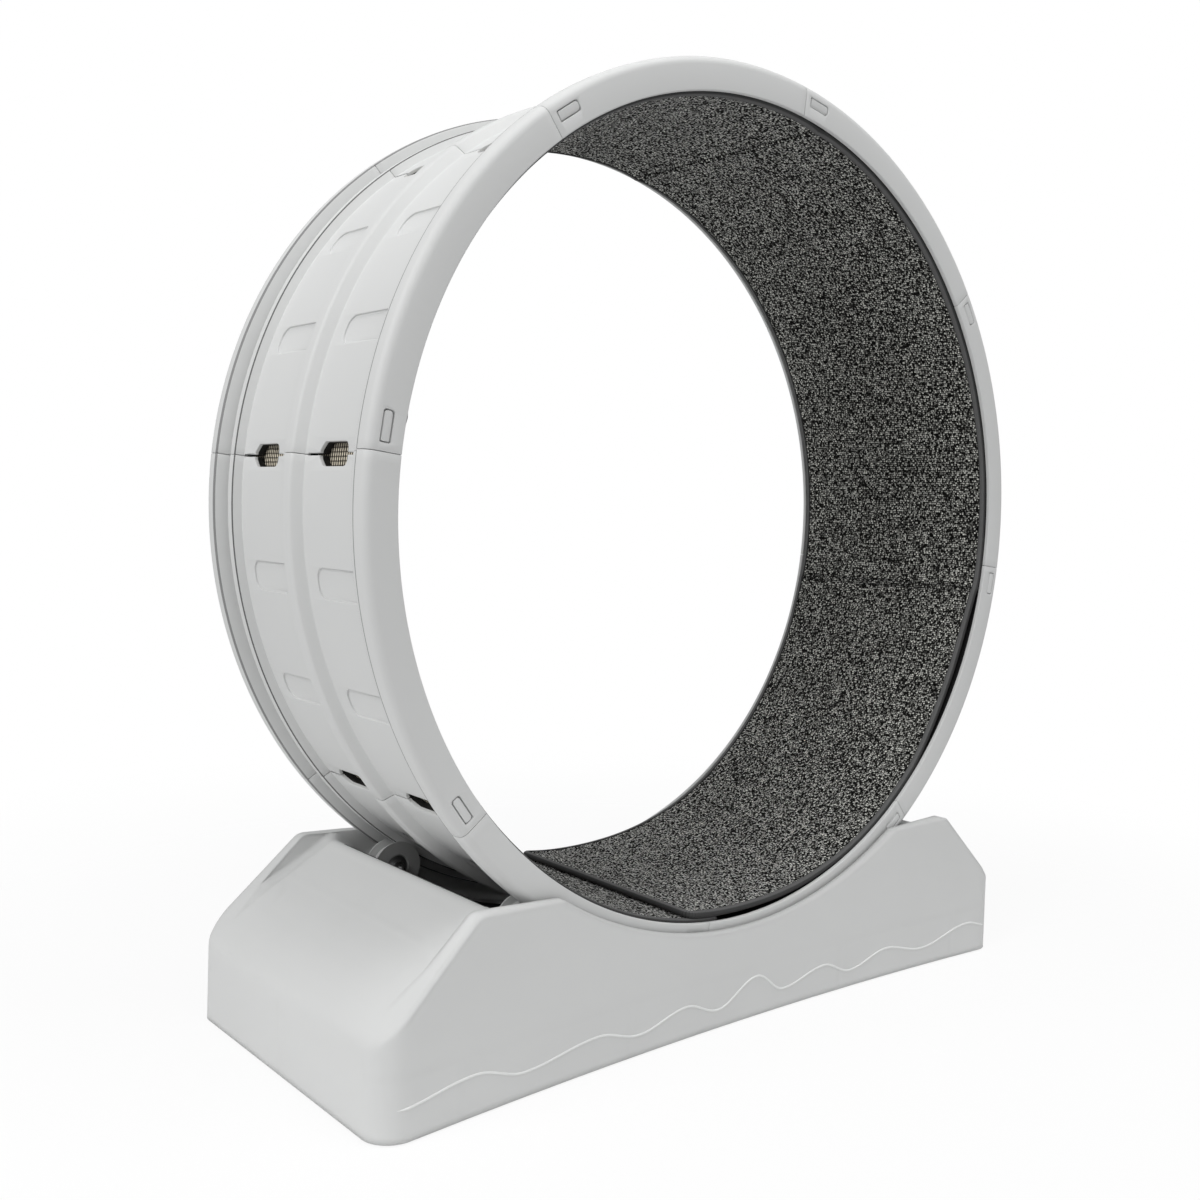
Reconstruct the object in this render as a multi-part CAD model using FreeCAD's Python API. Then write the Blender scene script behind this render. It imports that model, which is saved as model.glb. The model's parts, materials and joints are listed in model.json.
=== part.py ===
import FreeCAD, Part
import math
import os

# Cat exercise wheel: a ring of eight snap-together segments, lined with a
# running mat, that turns on four grooved rollers in a moulded cradle base.
# Millimetres.  Origin on the floor under the middle of the wheel, +Z up,
# +Y along the wheel's axis, +X along the base.

V = FreeCAD.Vector

# ---- wheel ring: heights and widths of its section -----------------------
WHEEL_RADIUS = 400.0
RIM_HEIGHT = 16.0               # of the rims above the flat panels
CENTRE_RIDGE_HEIGHT = 9.5
RAIL_HEIGHT = 8.0               # of the two ridges that the rollers run on
PANEL_THICKNESS = 8.4
LIP_HEIGHT = 4.0                # of each rim's lip inside the channel for the mat
LIP_THICKNESS = 4.5
WHEEL_HALF_WIDTH = 138.0
RIM_WIDTH = 20.0                # rim at its foot
RIM_FLARE = 3.0                 # how far the rim's inner flank leans outwards
RIM_ROUND = 8.0                 # its outer corner, rounded in two facets
CENTRE_RIDGE_FOOT = 13.0        # half widths of the middle ridge
CENTRE_RIDGE_TOP = 7.0
RAIL_FROM_EDGE = 30.5           # from the wheel's side to the middle of a rail
RAIL_FOOT = 6.5                 # half widths of the rail
RAIL_TOP = 4.1

# ---- wheel ring: segments, seams and snap latches ------------------------
SEGMENT_COUNT = 8
FIRST_SEAM_ANGLE = 174.3        # degrees from +X towards +Z
SEAM_GAP = 0.5
LATCH_WALL = 3.0                # wall left round the rim's hollow
LATCH_CLEARANCE = 0.4
LATCH_ROOM_LENGTH = 36.0        # depth of the pocket that takes the tongue
LATCH_TONGUE_ROOT = 10.0        # length of the tongue's root inside its own rim
LATCH_TONGUE_LENGTH = 34.0
LATCH_WINDOW_START = 6.5        # from the seam to the window, along the rim
LATCH_WINDOW_LENGTH = 24.0
LATCH_WINDOW_WIDTH = 9.0
LATCH_WINDOW_LIFT = 6.4         # from the channel's floor to the window
LATCH_PAD_BEVEL = 2.2

# ---- wheel ring: cut-outs at the seams and pressed panels ----------------
CUTOUT_LENGTH = 44.0            # across the wheel
CUTOUT_WIDTH = 19.0             # along the rim
CUTOUT_OFFSET = 1.0             # outwards from the middle of its panel
CUTOUT_FAR_CORNER = 6.5         # corners cut off at 45 degrees
CUTOUT_NEAR_CORNER = 4.5
SLOT_END_MARGIN = 0.5           # from the slot's end to the rail's foot
SLOT_WIDTH = 2.0
NOTCH_LENGTH = 8.0
PRESS_PER_SEGMENT = 2
PRESS_LENGTH = 70.0
PRESS_WIDTH = 25.0
PRESS_DEPTH = 1.6
PRESS_RIDGE_MARGIN = 1.0        # from the ridge that it starts beside
PRESS_FAR_CORNER = 8.0

# ---- running mat: one strip whose first end lies on top of its last one ---
MAT_GAP = 0.3
MAT_PILE_HEIGHT = 4.6
MAT_BACKING_THICKNESS = 1.4
MAT_SIDE_CLEARANCE = 1.5        # to each lip of the channel
BINDING_WIDTH = 9.0
BINDING_PROUD = 0.3
MAT_FIRST_END = -99.5           # degrees from +X towards +Z
MAT_OVERLAP = 7.0               # degrees of the strip that lie under its first end
MAT_LEVEL_RUN = 8.0             # degrees from the first end to where it climbs down
MAT_CLIMB = 32.0                # degrees that the climb takes

# ---- rollers, bearings and axles ------------------------------------------
ROLLER_ANGLE = 33.4             # from straight down to each roller's axle
ROLLING_GAP = 0.3
ROLLER_WIDTH = 17.0
ROLLER_GROOVE_RADIUS = 18.9
ROLLER_FLANGE_RADIUS = 24.8
GROOVE_SIDE_CLEARANCE = 0.8
HUB_RECESS_RADIUS = 12.3
HUB_RECESS_DEPTH = 1.0
BEARING_RADIUS = 11.0
BEARING_INNER_RADIUS = 6.0
BEARING_RUNNING_GAP = 0.05
AXLE_RADIUS = 4.0
BOLT_HEAD_RADIUS = 6.5
BOLT_HEAD_HEIGHT = 5.0
BOLT_SOCKET_WIDTH = 5.0
BOLT_SOCKET_DEPTH = 3.0
SPACER_LENGTH = 2.5             # from the roller's bearing to the boss
AXLE_SOCKET_DEPTH = 16.0        # of the hole in the boss that the bolt screws into
BOSS_RIM_CLEARANCE = 1.7        # between the wheel's rim and the boss of the axle
BOSS_WEB_THICKNESS = 4.0

# ---- base -----------------------------------------------------------------
FOOT_PROUD = 1.5                # height of the base's edge above the floor
WHEEL_SIDE_CLEARANCE = 3.0
WELL_CLEARANCE = 18.0           # from the wheel's rim to the well's floor
WELL_FLOOR_HEIGHT = 50.8        # heights are above the base's edge
WELL_EDGE_BEVEL = 6.0           # along the foot of each wall, inside
RAMP_LIP_ANGLE = 40.93          # from straight down to the well's end, at the axle line
RAMP_ANGLE = 30.7
RAMP_LIP_ROUND = 9.0
RAMP_BLEND_RADIUS = 260.0
RAMP_RUNOUT_ANGLE = 1.0
WALL_ABOVE_LIP = 5.0
SLOPE_SETBACK = 29.15           # from the ramp's lip to the top of the wall's end slope
SLOPE_RUN = 89.5
SLOPE_RISE = 86.0
SLOPE_FOOT_ROUND = 24.0
WALL_LEVEL_LENGTH = 86.0        # level top between the end slope and the saddle
WALL_CORNER_ROUND = 14.0
WALL_EDGE_ROUND = 5.0
SADDLE_DEPTH = 62.5
SADDLE_CORNER_ROUND = 12.0
WAIST_WALL = 6.5                # thickness of each wall at the middle of the base
WAIST_DEPTH = 19.0              # how far the long sides curve in
BASE_END_TAPER = 5.0            # how much narrower each side is at the top
BASE_WAIST_TAPER = 0.5
BASE_CORNER_RADIUS = 25.0
END_TRIM = 0.2
SHELL_THICKNESS = 4.0
SKIRT_HOLLOW_HEIGHT = 50.0      # above this the side walls are solid
POCKET_CLEARANCE = 3.2
POCKET_SIDE_CLEARANCE = 11.0    # from the roller's inner face to the pocket's end
RIB_THICKNESS = 3.0
RIB_LIFT = 6.0
MIDDLE_RIB_X = 140.0
END_RIB_FROM_END = 74.5
FOOT_RADIUS = 14.0
FOOT_RECESS = 2.0
FOOT_FROM_END = 47.5
FOOT_FROM_SIDE = 38.5

# ---- values worked out from those above ------------------------------------
PANEL_RADIUS = WHEEL_RADIUS - RIM_HEIGHT
CENTRE_RIDGE_RADIUS = PANEL_RADIUS + CENTRE_RIDGE_HEIGHT
RAIL_RADIUS = PANEL_RADIUS + RAIL_HEIGHT
CHANNEL_RADIUS = PANEL_RADIUS - PANEL_THICKNESS
LIP_RADIUS = CHANNEL_RADIUS - LIP_HEIGHT
CHANNEL_HALF_WIDTH = WHEEL_HALF_WIDTH - LIP_THICKNESS
RIM_FOOT_Y = WHEEL_HALF_WIDTH - RIM_WIDTH
RAIL_CENTRE = WHEEL_HALF_WIDTH - RAIL_FROM_EDGE
PANEL_END_Y = RAIL_CENTRE - RAIL_FOOT
SEGMENT_ANGLE = 360.0 / SEGMENT_COUNT
LATCH_WINDOW_LOW = CHANNEL_RADIUS + LATCH_WINDOW_LIFT
LATCH_WINDOW_HIGH = LATCH_WINDOW_LOW + LATCH_WINDOW_WIDTH
CUTOUT_CENTRE = (CENTRE_RIDGE_FOOT + PANEL_END_Y) / 2 + CUTOUT_OFFSET
SLOT_LENGTH = PANEL_END_Y - SLOT_END_MARGIN - CUTOUT_CENTRE - CUTOUT_LENGTH / 2
MAT_OUTER_RADIUS = CHANNEL_RADIUS - MAT_GAP
PILE_OUTER_RADIUS = MAT_OUTER_RADIUS - MAT_BACKING_THICKNESS
MAT_INNER_RADIUS = PILE_OUTER_RADIUS - MAT_PILE_HEIGHT
BINDING_INNER_RADIUS = MAT_INNER_RADIUS - BINDING_PROUD
MAT_LIFT = MAT_OUTER_RADIUS - BINDING_INNER_RADIUS + MAT_GAP
MAT_HALF_WIDTH = CHANNEL_HALF_WIDTH - MAT_SIDE_CLEARANCE
ROLLER_DISTANCE = RAIL_RADIUS + ROLLING_GAP + ROLLER_GROOVE_RADIUS
ROLLER_INNER_Y = RAIL_CENTRE - ROLLER_WIDTH / 2
ROLLER_OUTER_Y = RAIL_CENTRE + ROLLER_WIDTH / 2
BEARING_IN_START = ROLLER_INNER_Y + HUB_RECESS_DEPTH
BEARING_OUT_END = ROLLER_OUTER_Y - HUB_RECESS_DEPTH
BOSS_START_Y = BEARING_OUT_END + SPACER_LENGTH
BOSS_RADIUS = ROLLER_DISTANCE - WHEEL_RADIUS - BOSS_RIM_CLEARANCE
EDGE_Z = FOOT_PROUD
WELL_RADIUS = WHEEL_RADIUS + WELL_CLEARANCE
AXIS_Z = EDGE_Z + WELL_FLOOR_HEIGHT + WELL_RADIUS
ROLLER_X = ROLLER_DISTANCE * math.sin(math.radians(ROLLER_ANGLE))
ROLLER_Z = AXIS_Z - ROLLER_DISTANCE * math.cos(math.radians(ROLLER_ANGLE))
RAMP_LIP_X = WELL_RADIUS * math.sin(math.radians(RAMP_LIP_ANGLE))
RAMP_LIP_Z = AXIS_Z - WELL_RADIUS * math.cos(math.radians(RAMP_LIP_ANGLE))
WALL_TOP_Z = RAMP_LIP_Z + WALL_ABOVE_LIP
WALL_TOP = WALL_TOP_Z - EDGE_Z
SADDLE_LOW_Z = WALL_TOP_Z - SADDLE_DEPTH
SLOPE_TOP_X = RAMP_LIP_X + SLOPE_SETBACK
SLOPE_FOOT_Z = WALL_TOP_Z - SLOPE_RISE
SADDLE_START_X = SLOPE_TOP_X - WALL_LEVEL_LENGTH
BASE_HALF_LENGTH = SLOPE_TOP_X + SLOPE_RUN
WALL_INNER_Y = WHEEL_HALF_WIDTH + WHEEL_SIDE_CLEARANCE
BASE_WAIST_HALF_DEPTH = WALL_INNER_Y + WAIST_WALL
BASE_END_HALF_DEPTH = BASE_WAIST_HALF_DEPTH + WAIST_DEPTH
POCKET_RADIUS = ROLLER_FLANGE_RADIUS + POCKET_CLEARANCE
POCKET_INNER_Y = ROLLER_INNER_Y - POCKET_SIDE_CLEARANCE
RIB_PLACES = (MIDDLE_RIB_X, BASE_HALF_LENGTH - END_RIB_FROM_END)
FOOT_X = BASE_HALF_LENGTH - FOOT_FROM_END
FOOT_Y = BASE_END_HALF_DEPTH - FOOT_FROM_SIDE
FAR_BEYOND = 2 * WHEEL_RADIUS   # safely outside the whole object


# ---- small helpers ---------------------------------------------------------
def rounded_outline(corners, place):
    """A closed wire through corners (a, b, radius), each rounded by an arc.

    place(a, b) turns the two plane coordinates into a point in space."""
    count = len(corners)
    starts = []
    for i in range(count):
        a, b, radius = corners[i]
        before = corners[i - 1]
        after = corners[(i + 1) % count]
        back = V(before[0] - a, before[1] - b, 0).normalize()
        ahead = V(after[0] - a, after[1] - b, 0).normalize()
        here = V(a, b, 0)
        if radius <= 0:
            starts.append((here, None, here))
            continue
        half = back.getAngle(ahead) / 2
        reach = radius / math.tan(half)
        middle = (back + ahead).normalize()
        depth = radius / math.sin(half) - radius
        starts.append((here + back * reach, here + middle * depth, here + ahead * reach))
    edges = []
    for i in range(count):
        first, middle, last = starts[i]
        if middle is not None:
            arc = Part.Arc(place(first.x, first.y), place(middle.x, middle.y), place(last.x, last.y))
            edges.append(arc.toShape())
        following = starts[(i + 1) % count][0]
        if (following - last).Length > 1e-6:
            edges.append(Part.makeLine(place(last.x, last.y), place(following.x, following.y)))
    return Part.Wire(edges)


def ring_point(y, radius):
    return V(radius, y, 0)


def turned(shape, angle):
    """A copy turned about the wheel's axis (through the origin) from +X towards +Z."""
    copy = shape.copy()
    copy.rotate(V(0, 0, 0), V(0, -1, 0), angle)
    return copy


def swept_ring(wire, start, end):
    """The solid that a section sweeps about the wheel's axis, from start to end degrees."""
    face = turned(Part.Face(wire), start)
    return face.revolve(V(0, 0, 0), V(0, -1, 0), end - start)


def rim_degrees(length):
    """The angle of a length measured along the rim's latch windows."""
    middle = (LATCH_WINDOW_LOW + LATCH_WINDOW_HIGH) / 2
    return math.degrees(length / middle)


def disc_along_y(radius, y_start, y_end, x=0.0, z=0.0):
    low = min(y_start, y_end)
    return Part.makeCylinder(radius, abs(y_end - y_start), V(x, low, z), V(0, 1, 0))


def tube_along_y(outer, inner, y_start, y_end):
    return disc_along_y(outer, y_start, y_end).cut(disc_along_y(inner, y_start, y_end))


def box_between(x0, x1, y0, y1, z0, z1):
    low = V(min(x0, x1), min(y0, y1), min(z0, z1))
    return Part.makeBox(abs(x1 - x0), abs(y1 - y0), abs(z1 - z0), low)


def side_point(x, z):
    return V(x, 0, z)


def prism_along_y(wire, half_width):
    face = Part.Face(wire)
    face.translate(V(0, -half_width, 0))
    return face.extrude(V(0, 2 * half_width, 0))


def mirrored_y(shape):
    return shape.mirror(V(0, 0, 0), V(0, 1, 0))


def tidy(shape):
    """One clean solid, or a clean compound where the piece is several solids."""
    clean = shape.removeSplitter()
    if len(clean.Solids) == 1:
        return clean.Solids[0]
    return Part.makeCompound(clean.Solids)


def save(shape, name):
    shape.exportStep("parts/" + name + ".step")


# ---- wheel segments ----------------------------------------------------------
def ring_section():
    """The section of the ring: half of its corners, and the same mirrored."""
    facet = RIM_ROUND * (1 - math.cos(math.radians(45)))
    half = [
        (CENTRE_RIDGE_TOP, CENTRE_RIDGE_RADIUS, 0),
        (CENTRE_RIDGE_FOOT, PANEL_RADIUS, 0),
        (PANEL_END_Y, PANEL_RADIUS, 0),
        (RAIL_CENTRE - RAIL_TOP, RAIL_RADIUS, 0),
        (RAIL_CENTRE + RAIL_TOP, RAIL_RADIUS, 0),
        (RAIL_CENTRE + RAIL_FOOT, PANEL_RADIUS, 0),
        (RIM_FOOT_Y, PANEL_RADIUS, 0),
        (RIM_FOOT_Y + RIM_FLARE, WHEEL_RADIUS, 0),
        (WHEEL_HALF_WIDTH - RIM_ROUND, WHEEL_RADIUS, 0),
        (WHEEL_HALF_WIDTH - facet, WHEEL_RADIUS - facet, 0),
        (WHEEL_HALF_WIDTH, WHEEL_RADIUS - RIM_ROUND, 0),
        (WHEEL_HALF_WIDTH, LIP_RADIUS, 0),
        (CHANNEL_HALF_WIDTH, LIP_RADIUS, 0),
        (CHANNEL_HALF_WIDTH, CHANNEL_RADIUS, 0),
    ]
    other = [(-y, radius, bend) for y, radius, bend in reversed(half)]
    return rounded_outline(half + other, ring_point)


def latch_section(shrink):
    """The pocket inside a rim, or with shrink the tongue that slides into it."""
    low_y = RIM_FOOT_Y + RIM_FLARE / 2 + LATCH_WALL + shrink
    high_y = WHEEL_HALF_WIDTH - LATCH_WALL - shrink
    low = CHANNEL_RADIUS + LATCH_WALL + shrink
    high = WHEEL_RADIUS - LATCH_WALL - RIM_ROUND / 4 - shrink
    bevel = RIM_ROUND / 2
    corners = [(low_y, low, 0), (high_y, low, 0), (high_y, high - bevel, 0),
               (high_y - bevel, high, 0), (low_y, high, 0)]
    return rounded_outline(corners, ring_point)


def window_section(shrink, bevel):
    """Section through the side wall at the latch window; the pad has a bevelled edge."""
    low_y = WHEEL_HALF_WIDTH - LATCH_WALL - 1.0
    high_y = WHEEL_HALF_WIDTH
    if shrink == 0:
        high_y = WHEEL_HALF_WIDTH + 1.0
    low = LATCH_WINDOW_LOW + shrink
    high = LATCH_WINDOW_HIGH - shrink
    corners = [(low_y, low, 0), (high_y - bevel / 2, low, 0), (high_y, low + bevel, 0)]
    if bevel == 0:
        corners = [(low_y, low, 0), (high_y, low, 0)]
    corners = corners + [(high_y, high, 0), (low_y, high, 0)]
    return rounded_outline(corners, ring_point)


def snap_tongue():
    """Tongue and window pad at the seam of angle 0, reaching below it, on the +Y rim."""
    length = rim_degrees(LATCH_TONGUE_LENGTH)
    root = rim_degrees(LATCH_TONGUE_ROOT)
    tongue = swept_ring(latch_section(LATCH_CLEARANCE), -length, root)
    gap = rim_degrees(LATCH_CLEARANCE)
    near = rim_degrees(LATCH_WINDOW_START) + gap
    far = rim_degrees(LATCH_WINDOW_START + LATCH_WINDOW_LENGTH) - gap
    pad = swept_ring(window_section(LATCH_CLEARANCE, LATCH_PAD_BEVEL), -far, -near)
    return tongue.fuse(pad)


def latch_room():
    """Pocket and latch window cut from a segment's upper end, on the +Y rim."""
    start = SEGMENT_ANGLE - rim_degrees(LATCH_ROOM_LENGTH)
    room = swept_ring(latch_section(0), start, SEGMENT_ANGLE + 1)
    near = SEGMENT_ANGLE - rim_degrees(LATCH_WINDOW_START)
    far = SEGMENT_ANGLE - rim_degrees(LATCH_WINDOW_START + LATCH_WINDOW_LENGTH)
    window = swept_ring(window_section(0, 0), far, near)
    return room.fuse(window)


def tangent_block(far_y, near_y, width, far_corner, near_corner):
    """A block through the panel at angle 0 whose outline has its corners cut off."""
    half = width / 2
    outline = [
        V(0, near_y, near_corner - half), V(0, near_y, half - near_corner),
        V(0, near_y + near_corner, half), V(0, far_y - far_corner, half),
        V(0, far_y, half - far_corner), V(0, far_y, far_corner - half),
        V(0, far_y - far_corner, -half), V(0, near_y + near_corner, -half),
    ]
    corners = [point for i, point in enumerate(outline) if point != outline[i - 1]]
    wire = Part.makePolygon(corners + [corners[0]])
    wire.translate(V(CHANNEL_RADIUS - 2, 0, 0))
    return Part.Face(wire).extrude(V(PANEL_RADIUS - CHANNEL_RADIUS + 3, 0, 0))


def seam_cutout(centre):
    """The cut-out and the slots beside it, centred on angle 0."""
    far = centre + CUTOUT_LENGTH / 2
    near = centre - CUTOUT_LENGTH / 2
    hole = tangent_block(far, near, CUTOUT_WIDTH, CUTOUT_FAR_CORNER, CUTOUT_NEAR_CORNER)
    slot = tangent_block(far + SLOT_LENGTH, near - NOTCH_LENGTH, SLOT_WIDTH, 0, 0)
    return hole.fuse(slot)


def pressed_panel(near_end):
    """The shallow pressed panel that starts beside the ridge on its near side."""
    far_end = near_end + PRESS_LENGTH
    block = tangent_block(far_end, near_end, PRESS_WIDTH, PRESS_FAR_CORNER, 0)
    return block.cut(disc_along_y(PANEL_RADIUS - PRESS_DEPTH, near_end - 1, far_end + 1))


def wheel_segment():
    """One moulded segment, from angle 0 to SEGMENT_ANGLE about the origin."""
    gap = math.degrees(SEAM_GAP / 2 / WHEEL_RADIUS)
    body = swept_ring(ring_section(), gap, SEGMENT_ANGLE - gap)
    room = latch_room()
    body = body.cut([room, mirrored_y(room)])
    cuts = []
    for centre in (CUTOUT_CENTRE, -CUTOUT_CENTRE):
        cutout = seam_cutout(centre)
        cuts.append(cutout)
        cuts.append(turned(cutout, SEGMENT_ANGLE))
    for i in range(PRESS_PER_SEGMENT):
        angle = SEGMENT_ANGLE * (i + 1) / (PRESS_PER_SEGMENT + 1)
        for ridge in (CENTRE_RIDGE_FOOT, -PANEL_END_Y):
            cuts.append(turned(pressed_panel(ridge + PRESS_RIDGE_MARGIN), angle))
    body = body.cut(cuts)
    tongue = snap_tongue()
    body = body.fuse([tongue, mirrored_y(tongue)])
    return tidy(body)


def place_on_axis(shape):
    copy = shape.copy()
    copy.translate(V(0, 0, AXIS_Z))
    return copy


def wheel_segments():
    """All segments; each spans from its own seam up to the seam before it."""
    segment = wheel_segment()
    pieces = []
    for i in range(SEGMENT_COUNT):
        angle = FIRST_SEAM_ANGLE - SEGMENT_ANGLE * (i + 1)
        pieces.append(place_on_axis(turned(segment, angle)))
    return pieces


# ---- running mat -------------------------------------------------------------
def on_circle(radius, angle):
    turn = math.radians(angle)
    return V(radius * math.cos(turn), 0, radius * math.sin(turn))


def arc_between(radius, start, end):
    return Part.Arc(on_circle(radius, start), on_circle(radius, (start + end) / 2),
                    on_circle(radius, end)).toShape()


def mat_run(radius, trim):
    """The strip's run at one radius: level on top of its own last end, a climb down, then round.

    trim is an angle left out at each end."""
    start = MAT_FIRST_END + trim
    level_end = MAT_FIRST_END + MAT_LEVEL_RUN
    climb_end = level_end + MAT_CLIMB
    end = MAT_FIRST_END + 360 + MAT_OVERLAP - trim
    high = radius - MAT_LIFT
    climb = Part.Arc(on_circle(high, level_end),
                     on_circle(radius - MAT_LIFT / 2, (level_end + climb_end) / 2),
                     on_circle(radius, climb_end)).toShape()
    edges = [arc_between(high, start, level_end), climb, arc_between(radius, climb_end, end)]
    return edges, on_circle(high, start), on_circle(radius, end)


def mat_strip(outer, inner, trim, half_width):
    """The bent strip between two radii, as wide as the mat or as its field."""
    above, above_start, above_end = mat_run(outer, trim)
    below, below_start, below_end = mat_run(inner, trim)
    first = Part.makeLine(above_start, below_start)
    last = Part.makeLine(above_end, below_end)
    wire = Part.Wire(Part.__sortEdges__(above + [last] + below + [first]))
    return place_on_axis(prism_along_y(wire, half_width))


def mat_layers():
    """Pile, woven backing, and the binding that is sewn round all four edges."""
    trim = math.degrees(BINDING_WIDTH / MAT_INNER_RADIUS)
    field = MAT_HALF_WIDTH - BINDING_WIDTH
    margin = MAT_GAP / 3
    pile = mat_strip(PILE_OUTER_RADIUS, MAT_INNER_RADIUS, trim, field)
    backing = mat_strip(MAT_OUTER_RADIUS, PILE_OUTER_RADIUS, trim, field)
    whole = mat_strip(MAT_OUTER_RADIUS, BINDING_INNER_RADIUS, 0, MAT_HALF_WIDTH)
    opening = mat_strip(MAT_OUTER_RADIUS + margin, BINDING_INNER_RADIUS - margin, trim, field)
    return pile, backing, whole.cut(opening)


# ---- rollers, made at the +Y side with the axle on the Y axis ------------------
def turned_about_y(corners):
    """A solid of revolution about the Y axis from corners (y, radius, bend)."""
    wire = rounded_outline(corners, lambda y, radius: V(radius, y, 0))
    return Part.Face(wire).revolve(V(0, 0, 0), V(0, 1, 0), 360)


def grooved_roller():
    """Roller with a groove for the rail, a seat for its bearings and a recess each side."""
    half_foot = RAIL_FOOT + GROOVE_SIDE_CLEARANCE
    half_top = RAIL_TOP + GROOVE_SIDE_CLEARANCE
    middle = RAIL_CENTRE
    corners = [
        (ROLLER_INNER_Y, HUB_RECESS_RADIUS, 0),
        (ROLLER_INNER_Y, ROLLER_FLANGE_RADIUS, 0),
        (middle - half_foot, ROLLER_FLANGE_RADIUS, 0),
        (middle - half_top, ROLLER_GROOVE_RADIUS, 0),
        (middle + half_top, ROLLER_GROOVE_RADIUS, 0),
        (middle + half_foot, ROLLER_FLANGE_RADIUS, 0),
        (ROLLER_OUTER_Y, ROLLER_FLANGE_RADIUS, 0),
        (ROLLER_OUTER_Y, BEARING_RADIUS, 0),
        (BEARING_IN_START, BEARING_RADIUS, 0),
        (BEARING_IN_START, HUB_RECESS_RADIUS, 0),
    ]
    return turned_about_y(corners)


def bearing_outer():
    """Outer rings and seals of the pair of bearings, pressed into the roller."""
    return tube_along_y(BEARING_RADIUS, BEARING_INNER_RADIUS + BEARING_RUNNING_GAP,
                        BEARING_IN_START, BEARING_OUT_END)


def bearing_inner():
    """Inner rings and the spacer behind them, clamped on the axle bolt."""
    return tube_along_y(BEARING_INNER_RADIUS, AXLE_RADIUS, BEARING_IN_START, BOSS_START_Y)


def axle_bolt():
    """Flanged bolt: hexagon socket on the inner side, shank through to the boss."""
    head_end = BEARING_IN_START
    head_start = head_end - BOLT_HEAD_HEIGHT
    shank_end = BOSS_START_Y + AXLE_SOCKET_DEPTH
    head = disc_along_y(BOLT_HEAD_RADIUS, head_start, head_end)
    hexagon = Part.makePolygon([
        V(BOLT_SOCKET_WIDTH / math.sqrt(3) * math.cos(math.radians(60 * i)), head_start - 1,
          BOLT_SOCKET_WIDTH / math.sqrt(3) * math.sin(math.radians(60 * i))) for i in range(7)])
    socket = Part.Face(hexagon).extrude(V(0, BOLT_SOCKET_DEPTH + 1, 0))
    shank = disc_along_y(AXLE_RADIUS, head_end, shank_end)
    return tidy(head.cut(socket).fuse(shank))


def at_roller(shape, side, end):
    """A copy at one of the four rollers: side is -1 for the -Y wall, end -1 for the -X end."""
    copy = shape.copy()
    if side < 0:
        copy.rotate(V(0, 0, 0), V(0, 0, 1), 180)
    copy.translate(V(end * ROLLER_X, 0, ROLLER_Z))
    return copy


ROLLER_PLACES = (
    ("front_left", -1, -1),
    ("front_right", -1, 1),
    ("rear_left", 1, -1),
    ("rear_right", 1, 1),
)


def at_every_roller(shape):
    return Part.makeCompound([at_roller(shape, side, end) for _, side, end in ROLLER_PLACES])


# ---- base ----------------------------------------------------------------------
def plan_outline(z, length, end_depth, waist_depth, corner_radius):
    """Plan of the base: straight ends, long sides that curve in to a waist, round corners."""
    corners = [V(-length, -end_depth, z), V(length, -end_depth, z),
               V(length, end_depth, z), V(-length, end_depth, z)]
    front = Part.Arc(corners[0], V(0, -waist_depth, z), corners[1]).toShape()
    right = Part.makeLine(corners[1], corners[2])
    rear = Part.Arc(corners[2], V(0, waist_depth, z), corners[3]).toShape()
    left = Part.makeLine(corners[3], corners[0])
    slab = Part.Face(Part.Wire([front, right, rear, left])).extrude(V(0, 0, 1))
    upright = [edge for edge in slab.Edges if edge.BoundBox.ZLength > 0.5]
    rounded = slab.makeFillet(corner_radius, upright)
    bottom = [face for face in rounded.Faces if face.BoundBox.ZMax < z + 0.5]
    return bottom[0].OuterWire


def plan_block(inset, z_low, z_high):
    """The plan outline raised with its tapering sides."""
    def outline(z):
        share = (z - EDGE_Z) / WALL_TOP
        return plan_outline(z, BASE_HALF_LENGTH - inset,
                            BASE_END_HALF_DEPTH - inset - BASE_END_TAPER * share,
                            BASE_WAIST_HALF_DEPTH - inset - BASE_WAIST_TAPER * share,
                            BASE_CORNER_RADIUS - inset)
    return Part.makeLoft([outline(z_low), outline(z_high)], True, True)


def slope_angle():
    """The wall's end slope, in degrees from level."""
    return math.degrees(math.atan2(SLOPE_RISE, SLOPE_RUN))


def saddle_radius():
    return (SADDLE_START_X ** 2 + SADDLE_DEPTH ** 2) / (2 * SADDLE_DEPTH)


def wall_profile():
    """Side view of the walls without the saddle: upright end, slope, level top."""
    end = BASE_HALF_LENGTH - END_TRIM
    corners = [
        (-end, EDGE_Z, 0),
        (-end, SLOPE_FOOT_Z, SLOPE_FOOT_ROUND),
        (-SLOPE_TOP_X, WALL_TOP_Z, WALL_CORNER_ROUND),
        (SLOPE_TOP_X, WALL_TOP_Z, WALL_CORNER_ROUND),
        (end, SLOPE_FOOT_Z, SLOPE_FOOT_ROUND),
        (end, EDGE_Z, 0),
    ]
    return rounded_outline(corners, side_point)


def saddle_cutter():
    """The curved dip between the tops of the walls."""
    radius = saddle_radius()
    return disc_along_y(radius, -FAR_BEYOND, FAR_BEYOND, 0, SADDLE_LOW_Z + radius)


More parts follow.
